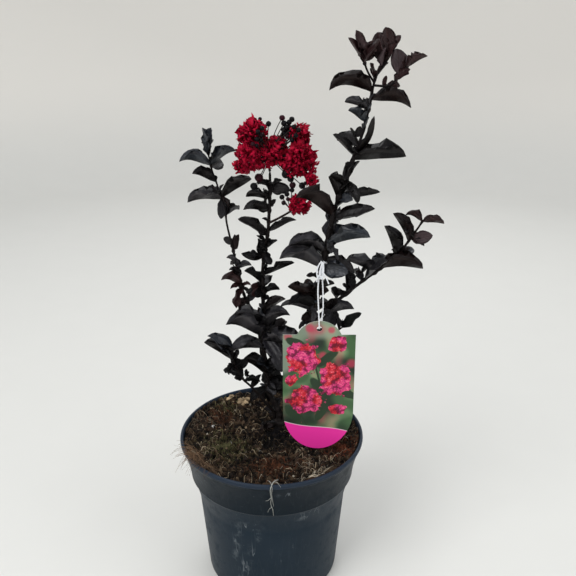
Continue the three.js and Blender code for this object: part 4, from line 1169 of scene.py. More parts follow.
def sideFoot(parent, at, target, radius):
    # on the line from the parent's axis to the next knot, as far out as leaves the cut end clear of it
    share = at / parent.segments
    axis = parent.place(share)
    out = unit(np.array(target) - axis)
    lengthwise = abs(out @ parent.tangent(share))
    slope = math.sqrt(1 - lengthwise**2)
    return axis + out * (parent.radius(share) + rule["gap"] + radius * lengthwise) / slope


grown = {}
for stemName, stem in stems.items():
    knots = list(stem["route"])
    if "from" in stem:
        knots = [sideFoot(grown[stem["from"]], stem["at"], knots[0], stem["radii"][0])] + knots
    grown[stemName] = Path(knots, stem["radii"], byHeight=True)


def stretchOf(stemName, span):
    whole = grown[stemName]
    first, last = span
    start = first
    if first > 0:
        start += rule["gap"] / (np.linalg.norm(whole.knots[first + 1] - whole.knots[first - 1]) / 2)
    return Path(whole.knots, whole.radii, start / whole.segments, last / whole.segments, True)


taken = {}  # owner: the test points that it has claimed


def claim(points, owner):
    taken.setdefault(owner, []).append(np.atleast_2d(points))


def hasRoom(points, owner, inMass, between):
    # every point lies further than the room from every point that is taken
    for other, claimed in taken.items():
        room = inMass if other == owner else between
        if (np.linalg.norm(np.vstack(claimed)[:, None] - points, axis=-1) <= room).any():
            return False
    return True


def extraLeaves(path, extra, around, owner, seed):
    # seeded leaves at the back, or all round; one without room turns aside, and at last is left out
    draw = seeded(seed)
    count, length = extra
    first, stretch = rule["shares"]
    leaves = []
    for k in range(count):
        leaf = {"at": first + (stretch * (k + draw())) / count, "tint": None}
        leaf["turn"] = 360 * draw() if around else 35 + 110 * draw()
        leaf["rise"] = 5 + 40 * draw()
        leaf["length"] = length * (0.65 + 0.35 * draw())
        leaf["bend"] = 10 + 40 * draw()
        leaf["fold"], leaf["lean"], leaf["width"] = extraKinds[int(len(extraKinds) * draw())]
        spot = path.place(leaf["at"])
        for aside in rule["asides"]:
            tried = {**leaf, "turn": leaf["turn"] + aside}
            if hasRoom(testPoints(spot, tried), owner, rule["roomInMass"], rule["roomBetween"]):
                claim(bladePoints(spot, tried), owner)
                leaves.append(tried)
                break
    return leaves


def growShoots():
    # the tables' leaves claim their room first, then the seeded leaves find theirs
    for limbName, (stemName, span) in limbs.items():
        claim(stretchOf(stemName, span).place(np.linspace(0, 1, rule["limbPoints"])), limbName)
    shoots = []
    for massName, mass in masses.items():
        parts = [(stretchOf(mass["stem"], mass["span"]), mass, mass["extra"])]
        parts += [(Path(twig["route"], twig["radii"]), twig, (0, 0)) for twig in mass.get("twigs", [])]
        for path, table, extra in parts:
            leaves = [leafOf(row) for row in table["leaves"]]
            claim(path.place(np.linspace(0, 1, rule["stretchPoints"])), massName)
            for leaf in leaves:
                claim(bladePoints(path.place(leaf["at"]), leaf), massName)
            more = [leafOf(row) for row in table.get("more", [])]
            shoots.append({"mass": massName, "path": path, "leaves": leaves, "extra": extra, "more": more})
    for bunch in blossom.values():
        for centre, _, _ in bunch["lobes"]:
            claim(np.array(centre, float), "blossom")
    for seed, shoot in enumerate(shoots, rule["firstSeed"]):
        around = masses[shoot["mass"]].get("around", False)
        shoot["leaves"] += extraLeaves(shoot["path"], shoot["extra"], around, shoot["mass"], seed)
        shoot["leaves"] += shoot["more"]
    return shoots


shoots = growShoots()
print("rule grown:", sum(len(shoot["leaves"]) for shoot in shoots), "leaves")


# Finer growth by the same rule: buds and short side shoots in the leaf axils, and a tuft at each tip

finer = {
    "shootShare": 0.5,  # of the leaves that carry a side shoot
    "shootLast": 0.96,  # none nearer to the tip of a stretch
    "shootLength": (4, 9),
    "shootLeaf": 16,  # none beside a shorter leaf
    "leafLength": (7, 15),
    "tipLeaf": (7, 13),
    "tipLeaves": 3,
    "narrower": 0.9,  # than the plain blade of its kind
    "roomInMass": 1.6,
    "roomBetween": 3.0,
    "seed": 505,
    # masses whose stretch ends in a tuft
    "tufts": ("foliage_low_left", "foliage_right_skirt", "foliage_back", "foliage_back_right"),
    # young growth from the stump: foot, tip, number of leaves and their length
    "basalShoots": [
        ((4, 24, 160), (-12, 38, 166), 3, 12),
        ((1, 12, 158), (-12, 2, 162), 4, 14),
        ((6, 20, 164), (-3, 32, 186), 4, 16),
        ((19, 16, 160), (28, 30, 178), 4, 14),
        ((12, 26, 160), (16, 44, 172), 3, 13),
    ],
}


def smallLeaf(draw, turn, rise, lengths, tint=None):
    fold, lean, width = extraKinds[int(len(extraKinds) * draw())]
    low, high = lengths
    return {"turn": turn, "rise": rise, "length": low + (high - low) * draw(), "bend": 10 + 40 * draw(),
            "fold": fold, "lean": lean, "width": width * finer["narrower"], "tint": tint}


def sideLeaves(draw, tip, beside, mass):
    # two or three small leaves, to either side in turn, each kept if it has room
    leaves = []
    for k in range(2 + int(2 * draw())):
        turn = beside + (70 + 40 * draw()) * (-1) ** k
        small = smallLeaf(draw, turn, 20 + 50 * draw(), finer["leafLength"], masses[mass].get("tint"))
        points = bladePoints(tip, small)
        if hasRoom(points, mass, finer["roomInMass"], finer["roomBetween"]):
            claim(points, mass)
            leaves.append((tip, small))
    return leaves


def growFiner():
    # side shoots as (foot, tip, leaves), and the two ends of each bud in a leaf's axil
    draw = seeded(finer["seed"])
    sideShoots, buds = [], []
    for shoot in shoots:
        for leaf in shoot["leaves"]:
            at, path, turn = leaf["at"], shoot["path"], math.radians(leaf["turn"])
            spot, radius = path.place(at), path.radius(at)
            out = unit(np.array([math.cos(turn), math.sin(turn), 0.9]) + 0.6 * path.tangent(at))
            buds.append((spot + out * radius * 0.6, spot + out * (radius + 1.6 + 1.2 * draw())))
            fits = leaf["length"] >= finer["shootLeaf"] and at <= finer["shootLast"]
            if draw() <= finer["shootShare"] and fits:
                low, high = finer["shootLength"]
                tip = spot + out * (low + (high - low) * draw())
                leaves = sideLeaves(draw, tip, leaf["turn"], shoot["mass"])
                sideShoots += [(spot, tip, leaves)] if leaves else []
    count = finer["tipLeaves"]
    for shoot in shoots:
        if shoot["mass"] in finer["tufts"]:
            tip, ahead = shoot["path"].place(1.0), shoot["path"].tangent(1.0)
            tint, first = masses[shoot["mass"]].get("tint"), 360 * draw()
            turns = ((first + 360 / count * k + 30 * draw(), 55 + 25 * draw()) for k in range(count))
            leaves = [(tip, smallLeaf(draw, *turn, finer["tipLeaf"], tint)) for turn in turns]
            sideShoots.append((tip - ahead * 0.5, tip + ahead * 1.2, leaves))
    for low, high, count, length in finer["basalShoots"]:
        low, high = np.array(low, float), np.array(high, float)
        leaves = []
        for k in range(count):
            spot = low + (high - low) * (0.45 + 0.55 * k / (count - 1))
            leaves.append((spot, smallLeaf(draw, 360 * draw(), 10 + 45 * draw(), (length * 0.7, length))))
        sideShoots.append((low, high, leaves))
    return sideShoots, buds


sideShoots, axilBuds = growFiner()
print("finer growth:", len(sideShoots), "side shoots,", len(axilBuds), "buds")


# Bark

bark = {
    "step": 2.0,  # between rings
    "sides": 12,
    "ridges": (0.10, 0.05),  # depth of the broad and the fine relief over the radius
    "swelling": (0.32, 1.5),  # how much a stem widens where a leaf stands, and along how much of it
    "thinTip": (0.55, 2.5),  # how much it thins at the tip, and along how much of it
    "spread": (1.35, 0.3, 4),  # how much the sunken foot is wider, and the rings after it, and how many
    "scars": (0.06, 0.6, 0.045),  # of the leaves that fell from the foot: first, last and step
    "stumpPlace": (10.5, 18.5, 149.5),
    "stumpRise": 1.6,  # over the top of the solid
    "stumpRadius": 9.5,
    "stumpFlare": 4.0,
    "stumpGrid": (15, 28),
    "dark": (0.0030, 0.0021, 0.0022),
    "light": (0.0170, 0.0115, 0.0105),
    "grey": (0.050, 0.042, 0.038),
    "young": (0.0048, 0.0030, 0.0034),
}


def aroundBark(angle, along, wide, tall):
    # a place in the noise for each point of a tube: a circle across it and its length along it
    spots = np.cos(angle) * wide, np.sin(angle) * wide, along[:, None] / tall
    return np.stack(np.broadcast_arrays(*spots), axis=-1)


def stemTube(path, swellings, sunken=None):
    # a stem's rings: the rule's radius, wider at its leaves, times bark ridges that run lengthwise
    steps = max(8, int(lengthAlong(path.place(np.linspace(0, 1, 60)))[-1] / bark["step"]))
    share = np.linspace(0, 1, steps)
    places, radii = path.place(share), path.radius(share)
    length = lengthAlong(places)
    swelling, width = bark["swelling"]
    for at in swellings:
        radii = radii * (1 + swelling * np.exp(-(((length - np.interp(at, share, length)) / width) ** 2)))
    thinner, tip = bark["thinTip"]
    radii = radii * (1 - thinner * ease(length, length[-1] - tip, length[-1]))
    if sunken is not None:
        foot, after, rings = bark["spread"]
        places = np.vstack([sunken, places])
        radii = np.concatenate([[radii[0] * foot], radii])
        radii[1 : rings + 1] *= 1 + after * np.linspace(1, 0, rings)
        length = np.concatenate([[0], length + 3])
    spots = aroundBark(roundTurn(bark["sides"]), length, 1.9, 7)
    broad, fine = bark["ridges"]
    relief = 1 + broad * (cloud(spots, 4) - 0.5) * 2 + fine * (cloud(spots * (2, 2, 3), 6) - 0.5) * 2
    return tubes(places[None], radii[None], bark["sides"], relief[None])


def makeStump():
    # a low knobbly crown that the stems rise from: rings that flare at the foot and round off at the top
    steps, sides = bark["stumpGrid"]
    x, y, foot = bark["stumpPlace"]
    part = np.linspace(0, 1, steps)
    height = foot + (rule["stumpTop"] + bark["stumpRise"] - foot) * part
    radii = bark["stumpRadius"] + bark["stumpFlare"] * (1 - part) ** 3
    radii = radii * np.sqrt(np.clip(1 - ease(part, 0.62, 1.08) ** 2, 0.02, 1))
    places = np.stack([x + 0 * part, y + 0 * part, height], axis=1)
    spots = aroundBark(roundTurn(sides), height, 2.2, 6)
    relief = 0.86 + 0.3 * cloud(spots, 12) + 0.12 * (cloud(spots * 3, 13) - 0.5)
    return tubes(places[None], radii[None], sides, relief[None])


def makeBarkMaterial():
    # streaks that run lengthwise, grey patches low down and a darker young end
    shader = Shader("darkBark")
    place = shader.place()
    streak = shader.noise(shader.place((1, 1, 0.28)), 900, 4, 0.6)
    patch = shader.noise(place, 95, 3)
    height = shader.part(place, "Z")
    low, high = shader.between(height, 0.29, 0.18), shader.between(height, 0.3, 0.42)
    base = shader.layered(
        bark["dark"],
        (bark["light"], shader.between(streak, 0.35, 0.8)),
        (bark["grey"], shader.between(patch, 0.58, 0.8) * low * 0.5),
        (bark["young"], high * 0.7),
    )
    return shader.finish(base, 0.6 + 0.2 * streak, streak + patch * 0.4, 0.5, Specular_IOR_Level=0.16)


barkMaterial = makeBarkMaterial()


def stemSwellings(stemName, path):
    # shares of the stem where a leaf stands or stood
    swellings = []
    for shoot in shoots:
        stretch = shoot["path"]
        if masses[shoot["mass"]]["stem"] == stemName and stretch.segments == path.segments:
            swellings += [float(stretch.onLine(leaf["at"])) for leaf in shoot["leaves"]]
    first, last, step = bark["scars"]
    highest = swellings[0] if swellings else 0.5
    return swellings + list(np.arange(first, min(highest, last), step))


def makeBark():
    shapes = [makeStump()]
    for stemName, path in grown.items():
        stem = stems[stemName]
        if "from" in stem:
            parent = grown[stem["from"]]
            sunken = parent.place(stem["at"] / parent.segments)
        else:
            sunken = path.place(0.0) - path.tangent(0.0) * 5
        shapes.append(stemTube(path, stemSwellings(stemName, path), sunken))
    addPiece("bark_limbs", joined(shapes), [barkMaterial], ["stump", *limbs])


makeBark()


def makeTwigs():
    # the thin shoots: the masses' own twigs, side shoots that sag a little, and buds in the axils
    shapes = []
    for shoot in shoots:
        if not shoot["path"].byHeight:
            shapes.append(stemTube(shoot["path"], [leaf["at"] for leaf in shoot["leaves"]]))
    part = np.linspace(0, 1, 5)[:, None]
    feet, tips = (np.array([shoot[end] for shoot in sideShoots])[:, None] for end in (0, 1))
    sag = np.array([0, 0, -0.12]) * np.linalg.norm(tips - feet, axis=-1, keepdims=True)
    paths = feet + (tips - feet) * part + sag * part * (1 - part)
    shapes.append(tubes(paths, np.linspace(0.85, 0.5, 5), 6))
    ends = np.array(axilBuds)
    paths = ends[:, :1] + (ends[:, 1:] - ends[:, :1]) * part
    shapes.append(tubes(paths, np.array([0.5, 0.85, 0.8, 0.5, 0.12]), 6))
    addPiece("twigs", joined(shapes), [barkMaterial], masses)


makeTwigs()
print("bark ready")


# Leaves

foliage = {
    "rows": 11,
    "columns": 5,
    "stalk": 0.03,  # share of the length before the blade begins
    "wider": 1.13,  # than the plain blade of the source
    "sink": 1.3,  # how far the midrib hangs under the plain one
    "opening": 0.24,  # how much the fold changes along a leaf
    "droop": (-0.07, 0.13),  # how far a tip hooks up or down over the length
    "steepest": 76,  # degrees that a half may fold up
    "thickness": 0.36,
    "cup": 0.35,  # how much more a half folds up by the midrib than at its margin
    "ripple": 0.042,  # waves of the margin over the length
    "waves": [(1.6, 2.8), (3.0, 4.2)],  # how many of them, long and short
    "twist": 8,  # degrees from foot to tip, either way
    "seed": 88,
    # tint: upper side, veins and margin, painted sheen, under side, and its gloss
    "tints": {
        "deep": ((0.0016, 0.0014, 0.0020), (0.0052, 0.0036, 0.0040), (0.0042, 0.0038, 0.0050),
                 (0.0044, 0.0040, 0.0040), 0.13),
        "dusk": ((0.0034, 0.0026, 0.0032), (0.0090, 0.0060, 0.0060), (0.0110, 0.0090, 0.0098),
                 (0.0125, 0.0104, 0.0100), 0.19),
        # bluish leaves: their blue is a painted sheen of the sky, and their gloss is higher
        "cool": ((0.0075, 0.0095, 0.0150), (0.0150, 0.0170, 0.0230), (0.0380, 0.0490, 0.0660),
                 (0.0340, 0.0390, 0.0470), 0.46),
        "brown": ((0.0066, 0.0030, 0.0030), (0.0140, 0.0060, 0.0055), (0.0150, 0.0088, 0.0086),
                  (0.0150, 0.0092, 0.0082), 0.15),
        "young": ((0.0160, 0.0064, 0.0066), (0.0360, 0.0110, 0.0100), (0.0500, 0.0280, 0.0290),
                  (0.0460, 0.0260, 0.0260), 0.17),
        "green": ((0.0042, 0.0060, 0.0048), (0.0110, 0.0125, 0.0080), (0.0130, 0.0165, 0.0130),
                  (0.0110, 0.0130, 0.0110), 0.26),
        "smoky": ((0.0120, 0.0115, 0.0145), (0.0230, 0.0200, 0.0220), (0.0580, 0.0550, 0.0630),
                  (0.0560, 0.0520, 0.0550), 0.28),
        "rosy": ((0.0330, 0.0200, 0.0220), (0.0460, 0.0260, 0.0270), (0.0900, 0.0640, 0.0700),
                 (0.0850, 0.0600, 0.0660), 0.20),
    },
    # the tints that are dealt out to leaves without one of their own
    "common": ["deep", "brown", "dusk", "smoky", "smoky", "dusk", "cool", "brown", "smoky"],
}


def makeLeafMaterial(name, colours):
    base, vein, paintedSheen, under, gloss = colours
    shader = Shader(name + "Leaf")
    tone = shader.tone()
    below = shader.between(tone, -0.2, -1.2)  # the under side's tones are less by 2
    own = tone + below * 2
    spot = shader.surface()
    across, along = shader.part(spot, "X"), shader.part(spot, "Y")
    out = abs(across * 2 - 1)
    # side veins leave the midrib on a slant: even steps of the length less a part of the way out
    step = shader.add("ShaderNodeMath", {"operation": "FRACT"}, {0: (along - out * 0.22) * 8})
    veins = 1 - shader.between(abs(step - 0.5), 0.0, 0.22)
    midrib = 1 - shader.between(out, 0.02, 0.12)
    mottle = shader.noise(shader.place(), 120, 4, 0.6)
    colour = shader.layered(
        base,
        # patches of painted sheen where the mottle is high, and more of it on a leaf whose tone is high
        (paintedSheen, shader.between(mottle, 0.40, 0.80) * (0.2 + own * 0.7)),
        (under, below * (0.45 + own * 0.5)),
        (vein, midrib * 0.7),
        (vein, veins * 0.12),
        (vein, shader.between(out, 0.88, 1.0) * 0.4),
    )
    relief = mottle * 0.30 - veins * 0.22 - midrib * 0.5
    return shader.finish(colour, 0.32 + mottle * 0.24, relief, 0.5, Specular_IOR_Level=gloss)


def leafMargin(table, share):
    # half the width of a blade: a sine of its share past the stalk, never less than the stalk itself
    blade = np.clip((share - foliage["stalk"]) / (1 - foliage["stalk"]), 0, 1) ** 0.94
    width = 0.5 * foliage["wider"] * table["width"] * table["length"] * np.sin(np.pi * blade).clip(0) ** 0.6
    return np.maximum(width, 0.55 * (1 - 0.75 * share))


def leafFold(table, share, reach, draw, phase):
    # A half's way out and its height over the midrib are sums of steps whose slope eases from the fold plus
    # the cup at the midrib to the fold less the cup at the margin.
    change = np.sin(2 * math.pi * share * draw.uniform(0.9, 1.7, phase.shape) + phase)
    fold = np.radians(np.minimum(table["fold"] * (1 + foliage["opening"] * change), foliage["steepest"]))
    steep, easing = fold * (1 + foliage["cup"]), 2 * fold * foliage["cup"]
    here = steep - easing * reach
    return (np.sin(steep) - np.sin(here)) / easing, (np.cos(here) - np.cos(steep)) / easing


def leafRipple(table, share, side, draw, phase):
    # two waves run along the margin and fade towards the midrib, the foot and the tip
    waves = 0
    for (low, high), start, strength, turn in zip(foliage["waves"], phase, (1, 0.5), (1.2, -1)):
        run = 2 * math.pi * share * draw.uniform(low, high, start.shape)
        waves = waves + strength * np.sin(run + start + side * turn)
    strength = foliage["ripple"] * draw.uniform(0.5, 1.3, phase[0].shape)
    strength = strength * np.clip(30 / table["length"], 0.8, 1.7)
    return strength * table["length"] * waves * side**2 * np.sin(np.pi * share)


def leafShape(leaves):
    # rows along the midrib and columns across it, folded, twisted and rippled, with a thin under side
    draw = np.random.default_rng(foliage["seed"])
    hooks = np.random.default_rng(foliage["seed"] + 1)
    count = len(leaves)
    each = (count, 1, 1)
    names = ("turn", "rise", "length", "bend", "fold", "lean", "width")
    table = {name: np.array([leaf[name] for _, leaf in leaves], float).reshape(each) for name in names}
    feet = np.array([spot for spot, _ in leaves])[:, None, None]
    even = np.linspace(0, 1, foliage["rows"])[None, :, None]
    share = 0.45 * even + 0.55 * (0.5 - 0.5 * np.cos(np.pi * even))  # closer rows at foot and tip
    side = np.linspace(-1, 1, foliage["columns"])[None, None]
    width = leafMargin(table, share)
    phase = draw.uniform(0, 2 * math.pi, (3, *each))
    level, raised = leafFold(table, share, np.abs(side), draw, phase[0])
    middle, across, face = leafLine(feet, table, share + 0 * side + 0 * table["turn"])
    hook = hooks.uniform(*foliage["droop"], each)
    drop = hook * table["length"] * (share.clip(0.6) - 0.6) ** 2 / 0.16
    middle = middle - (drop + foliage["sink"] * ease(share, 0, 0.3))[..., None] * (0, 0, 1)
    most = foliage["twist"]
    twist = np.radians(draw.normal(0, most * 0.6, each).clip(-most, most) * share)[..., None]
    twisted = across * np.cos(twist) + face * np.sin(twist)
    face = face * np.cos(twist) - across * np.sin(twist)
    aside = width * level * np.sign(side)
    raised = width * raised + leafRipple(table, share, side, draw, phase[1:])
    spots = middle + twisted * aside[..., None] + face * raised[..., None]
    normal = unit(unit(np.cross(np.gradient(spots, axis=1), np.gradient(spots, axis=2))) + face * 0.6)
    under = spots - normal * foliage["thickness"]
    tints, common = list(foliage["tints"]), foliage["common"]
    rolls = [common[draw.integers(len(common))] for _ in leaves]
    picks = [tints.index(leaf["tint"] or roll) for (_, leaf), roll in zip(leaves, rolls)]
    shape = shells(spots, under, tone=draw.uniform(0, 1, count), pick=np.array(picks))
    tone = np.array(shape["tone"]).reshape(count, -1)
    tone[:, foliage["rows"] * foliage["columns"]:] -= 2  # tells the material that it is the under side
    return {**shape, "tone": tone.ravel()}


def makeLeaves():
    leaves = []
    for shoot in shoots:
        tint = masses[shoot["mass"]].get("tint")
        for leaf in shoot["leaves"]:
            leaves.append((shoot["path"].place(leaf["at"]), {**leaf, "tint": leaf["tint"] or tint}))
    for _, _, small in sideShoots:
        leaves += small
    materials = [makeLeafMaterial(name, colours) for name, colours in foliage["tints"].items()]
    addPiece("leaves", leafShape(leaves), materials, masses)


makeLeaves()
print("leaves ready")


# Blossom

flowers = {
    "more": 1.9,  # flowers for each one that the rule gives a lobe
    "size": 0.63,  # of a flower over its lobe's radius
    "sizes": (0.84, 1.1),  # how much they differ
    "seat": 0.35,  # how far from the lobe's centre a flower opens, over the radius
    "seats": (0.65, 1.4),
    "petals": 6,
    "petalSizes": (0.52, 1.38),
    "steep": (0.15, 1.05),  # radians that a petal stands up
    "rows": 6,
    "columns": 9,
    "claw": 0.24,  # share of a petal's length that is its thin stalk
    "crinkle": 0.185,
    "thickness": 0.22,
    "mainStalk": (1.25, 1.0),
    "headStalk": 0.75,
    "flowerStalk": 0.42,
    "hiddenStalk": 0.4,
    "budStalk": 0.45,
    "sway": 0.10,  # of a stalk, over its length
    "calyx": (1.3, 1.5),  # how far under the flower, and its radius
    "hiddenBud": ((0.72, 0.98), (1.3, 1.9)),  # how far out over the lobe's radius, and its own radius
    "seed": 61,
    # the petals' colours; the deep red also paints shade, in the flower's heart and under each head
    "deep": (0.110, 0.0007, 0.008),
    "crimson": (0.35, 0.0016, 0.020),
    "bright": (0.52, 0.0055, 0.043),
    "stalkDark": (0.006, 0.004, 0.004),
    "stalk": (0.020, 0.010, 0.008),
    "bud": (0.0018, 0.0018, 0.0024),
    "budBloom": (0.0058, 0.0050, 0.0068),
    "budBlush": (0.030, 0.0030, 0.0085),
}


def lobeFlowers(centre, radius, count, draw):
    # seats spread by the golden angle, each facing out, as (place, direction, size)
    count = int(round(count * flowers["more"]))
    k = np.arange(count)
    height = 1 - 2 * (k + 0.5) / count
    facing = np.column_stack([polar(np.sqrt(1 - height**2), k * goldenTurn), height])
    facing = unit(facing + draw.normal(0, 0.16, (count, 3)))
    seat = centre + facing * radius * flowers["seat"] * draw.uniform(*flowers["seats"], (count, 1))
    return seat, facing, radius * flowers["size"] * draw.uniform(*flowers["sizes"], count)


def petalAxes(facings, draw):
    # for each petal of each flower: the way out, the way across it and the flower's own direction
    petals = flowers["petals"]
    helper = np.where(np.abs(facings[:, 2:]) < 0.9, [[0.0, 0.0, 1.0]], [[1.0, 0.0, 0.0]])
    first = unit(np.cross(facings, helper))
    second = np.cross(facings, first)
    turn = draw.uniform(0, 2 * math.pi, (len(facings), 1)) + roundTurn(petals)
    turn = (turn + draw.normal(0, 0.13, turn.shape))[..., None]
    out = first[:, None] * np.cos(turn) + second[:, None] * np.sin(turn)
    beside = -first[:, None] * np.sin(turn) + second[:, None] * np.cos(turn)
    return (axis.reshape(-1, 1, 1, 3) for axis in (out, beside, np.repeat(facings, petals, 0)))


def petalShape(seats, facings, sizes, draw):
    # A petal goes out from the seat and up in a shallow bowl. Its width is a thin claw and then a broad
    # blade, and waves that grow towards the margin push it up, down and sideways.
    petals = flowers["petals"]
    out, beside, axis = petalAxes(facings, draw)
    count = len(out)
    each = (count, 1, 1)
    seat = np.repeat(seats, petals, 0).reshape(-1, 1, 1, 3)
    size = np.repeat(sizes, petals).reshape(each) * draw.uniform(*flowers["petalSizes"], each)
    share = np.linspace(0, 1, flowers["rows"])[None, :, None] ** 0.9
    side = np.linspace(-1, 1, flowers["columns"])[None, None]
    blade = np.clip((share - flowers["claw"]) / (1 - flowers["claw"]), 0, 1)
    bulge = np.sqrt(np.clip(1 - (1.25 * blade - 0.55) ** 2 / 0.55, 0, 1))
    width = 0.05 + 0.55 * bulge * ease(blade, 0, 0.35)
    phase = draw.uniform(0, 2 * math.pi, (4, *each))
    grow = ease(blade, 0.05, 0.85)
    wave = np.sin(1.6 * math.pi * side + phase[0] + 2.5 * share)
    wave = (wave + 0.65 * np.sin(2.7 * math.pi * side + phase[1] - 4 * share)) * grow
    push = (np.sin(2.1 * math.pi * side + phase[2]) + 0.7 * np.sin(3.2 * math.pi * side + phase[3])) * grow
    steep = draw.uniform(*flowers["steep"], each)
    radial = (0.08 + 0.86 * share * np.cos(steep * share)) * (1 - 0.22 * grow * side**2) + 0.095 * push
    lateral = width * side * (1 + 0.10 * push)
    height = 0.22 * share + 0.66 * np.sin(steep) * share**1.4 + flowers["crinkle"] * wave
    parts = ((out, radial), (beside, lateral), (axis, height))
    spots = seat + sum(way * (size * reach)[..., None] for way, reach in parts)
    normal = unit(np.cross(np.gradient(spots, axis=1), np.gradient(spots, axis=2)))
    # a petal's tone is higher on a flower that faces up and lower on one that faces down, with a random
    # part; the material paints shade with it under each head
    tone = 0.5 + 0.25 * np.repeat(facings[:, 2], petals) + draw.uniform(-0.35, 0.35, count)
    return shells(spots, spots - normal * flowers["thickness"], tone=np.clip(tone, 0, 1))


def makePetalMaterial():
    shader = Shader("crimsonPetal")
    spot = shader.surface()
    across, along = shader.part(spot, "X"), shader.part(spot, "Y")
    fine = shader.noise(shader.place(), 520, 4, 0.65)
    stops = [(0.15, flowers["deep"]), (0.70, flowers["crimson"]), (1.15, flowers["bright"])]
    # along a petal the colour runs from dark red at the claw, painted shade deep in the flower, to crimson
    # and bright red at the tip, with paler margins; it is darker where the tone is low, a painted shade
    # under each head
    colour = shader.layered(
        shader.ramp(along + (fine - 0.5) * 0.7, stops),
        (flowers["deep"], (1 - shader.tone()) * 0.35),
        (flowers["bright"], shader.between(abs(across * 2 - 1), 0.70, 1.0) * 0.3),
    )
    return shader.finish(colour, 0.6, fine, 0.6, Specular_IOR_Level=0.10)


def makeStalkMaterial():
    shader = Shader("flowerStalk")
    fine = shader.noise(shader.place(), 600, 3)
    colour = shader.mix(flowers["stalkDark"], flowers["stalk"], fine)
    return shader.finish(colour, 0.6, fine, 0.3, Specular_IOR_Level=0.2)


def makeBudMaterial():
    shader = Shader("darkBud")
    fine = shader.noise(shader.place(), 300, 3)
    blush = shader.between(shader.tone(), 0.55, 1.0) * 0.8
    colour = shader.layered(flowers["bud"], (flowers["budBloom"], fine), (flowers["budBlush"], blush))
    return shader.finish(colour, 0.40 + 0.2 * fine, fine, 0.3, Specular_IOR_Level=0.10)


def budShape(centres, facings, radii, draw):
    # round buds with six shallow ribs that meet in a small point
    part = np.linspace(0, 1, 9)
    width = np.sqrt(np.clip(1 - (2 * part - 1) ** 2, 0.004, 1)) * (1 - 0.16 * ease(part, 0.7, 1))
    along = (2.12 * part - 1)[:, None] * radii[:, None, None]
    ribs = 1 + 0.05 * np.cos(6 * roundTurn(12)) + 0 * part[:, None]
    paths = centres[:, None] + facings[:, None] * along
    return tubes(paths, width * radii[:, None], 12, ribs[None], tone=draw.uniform(0, 1, len(centres)))


def stalkPaths(feet, tips, draw):
    # from foot to tip with a little sideways sway in the middle
    part = np.linspace(0, 1, 6)[:, None]
    length = np.linalg.norm(tips - feet, axis=1)[:, None, None]
    aside = draw.normal(0, flowers["sway"], (len(feet), 1, 3)) * length
    return feet[:, None] + (tips - feet)[:, None] * part + aside * part * (1 - part) * 2


def growBunch(bunch, draw, flowersMade, stalks, buds):
    # adds the bunch's flowers, its stalks as (foot, tip, radius) and its buds as (place, direction,
    # radius), and gives back the line of its main stalk
    route = bunch["route"]
    if "from" in bunch:
        parent = grown[bunch["from"]]
        route = [parent.place(bunch["at"] / parent.segments)] + route
    main = Path(route, flowers["mainStalk"]).place(np.linspace(0, 1, 16))
    tip = main[-1]
    under, calyx = flowers["calyx"]
    (nearest, furthest), hiddenSizes = flowers["hiddenBud"]
    for centre, radius, count in bunch["lobes"] + bunch["bridges"]:
        centre = np.array(centre, float)
        lobe = lobeFlowers(centre, radius, count, draw)
        flowersMade.append(lobe)
        stalks.append((tip, centre, flowers["headStalk"]))
        for seat, facing, _ in zip(*lobe):
            stalks.append((centre, seat, flowers["flowerStalk"]))
            buds.append((seat - facing * under, facing, calyx))
        # a closed bud that peeps out between the flowers
        aim = unit(draw.normal(0, 1, 3))
        end = centre + aim * radius * draw.uniform(nearest, furthest)
        stalks.append((centre, end, flowers["hiddenStalk"]))
        buds.append((end, aim, draw.uniform(*hiddenSizes)))
    for *spot, radius in bunch["buds"]:
        spot = np.array(spot, float)
        stalks.append((tip, spot, flowers["budStalk"]))
        buds.append((spot, unit(spot - tip), radius))
    return main


def makeBlossom():
    draw = np.random.default_rng(flowers["seed"])
    flowersMade, stalks, buds = [], [], []
    mains = [growBunch(bunch, draw, flowersMade, stalks, buds) for bunch in blossom.values()]
    seats, facings, sizes = (np.concatenate(column) for column in zip(*flowersMade))
    petals = petalShape(seats, facings, sizes, draw)
    addPiece("petals", petals, [makePetalMaterial()], list(blossom))
    feet, tips, radii = (np.array(column) for column in zip(*stalks))
    thin = tubes(stalkPaths(feet, tips, draw), radii[:, None], 5)
    thick = tubes(np.array(mains), np.linspace(*flowers["mainStalk"], 16), 8)
    addPiece("flower_stalks", joined([thin, thick]), [makeStalkMaterial()], list(blossom))
    shape = budShape(*(np.array(column) for column in zip(*buds)), draw)
    addPiece("flower_buds", shape, [makeBudMaterial()], list(blossom))


makeBlossom()
print("blossom ready")


# Hang tag

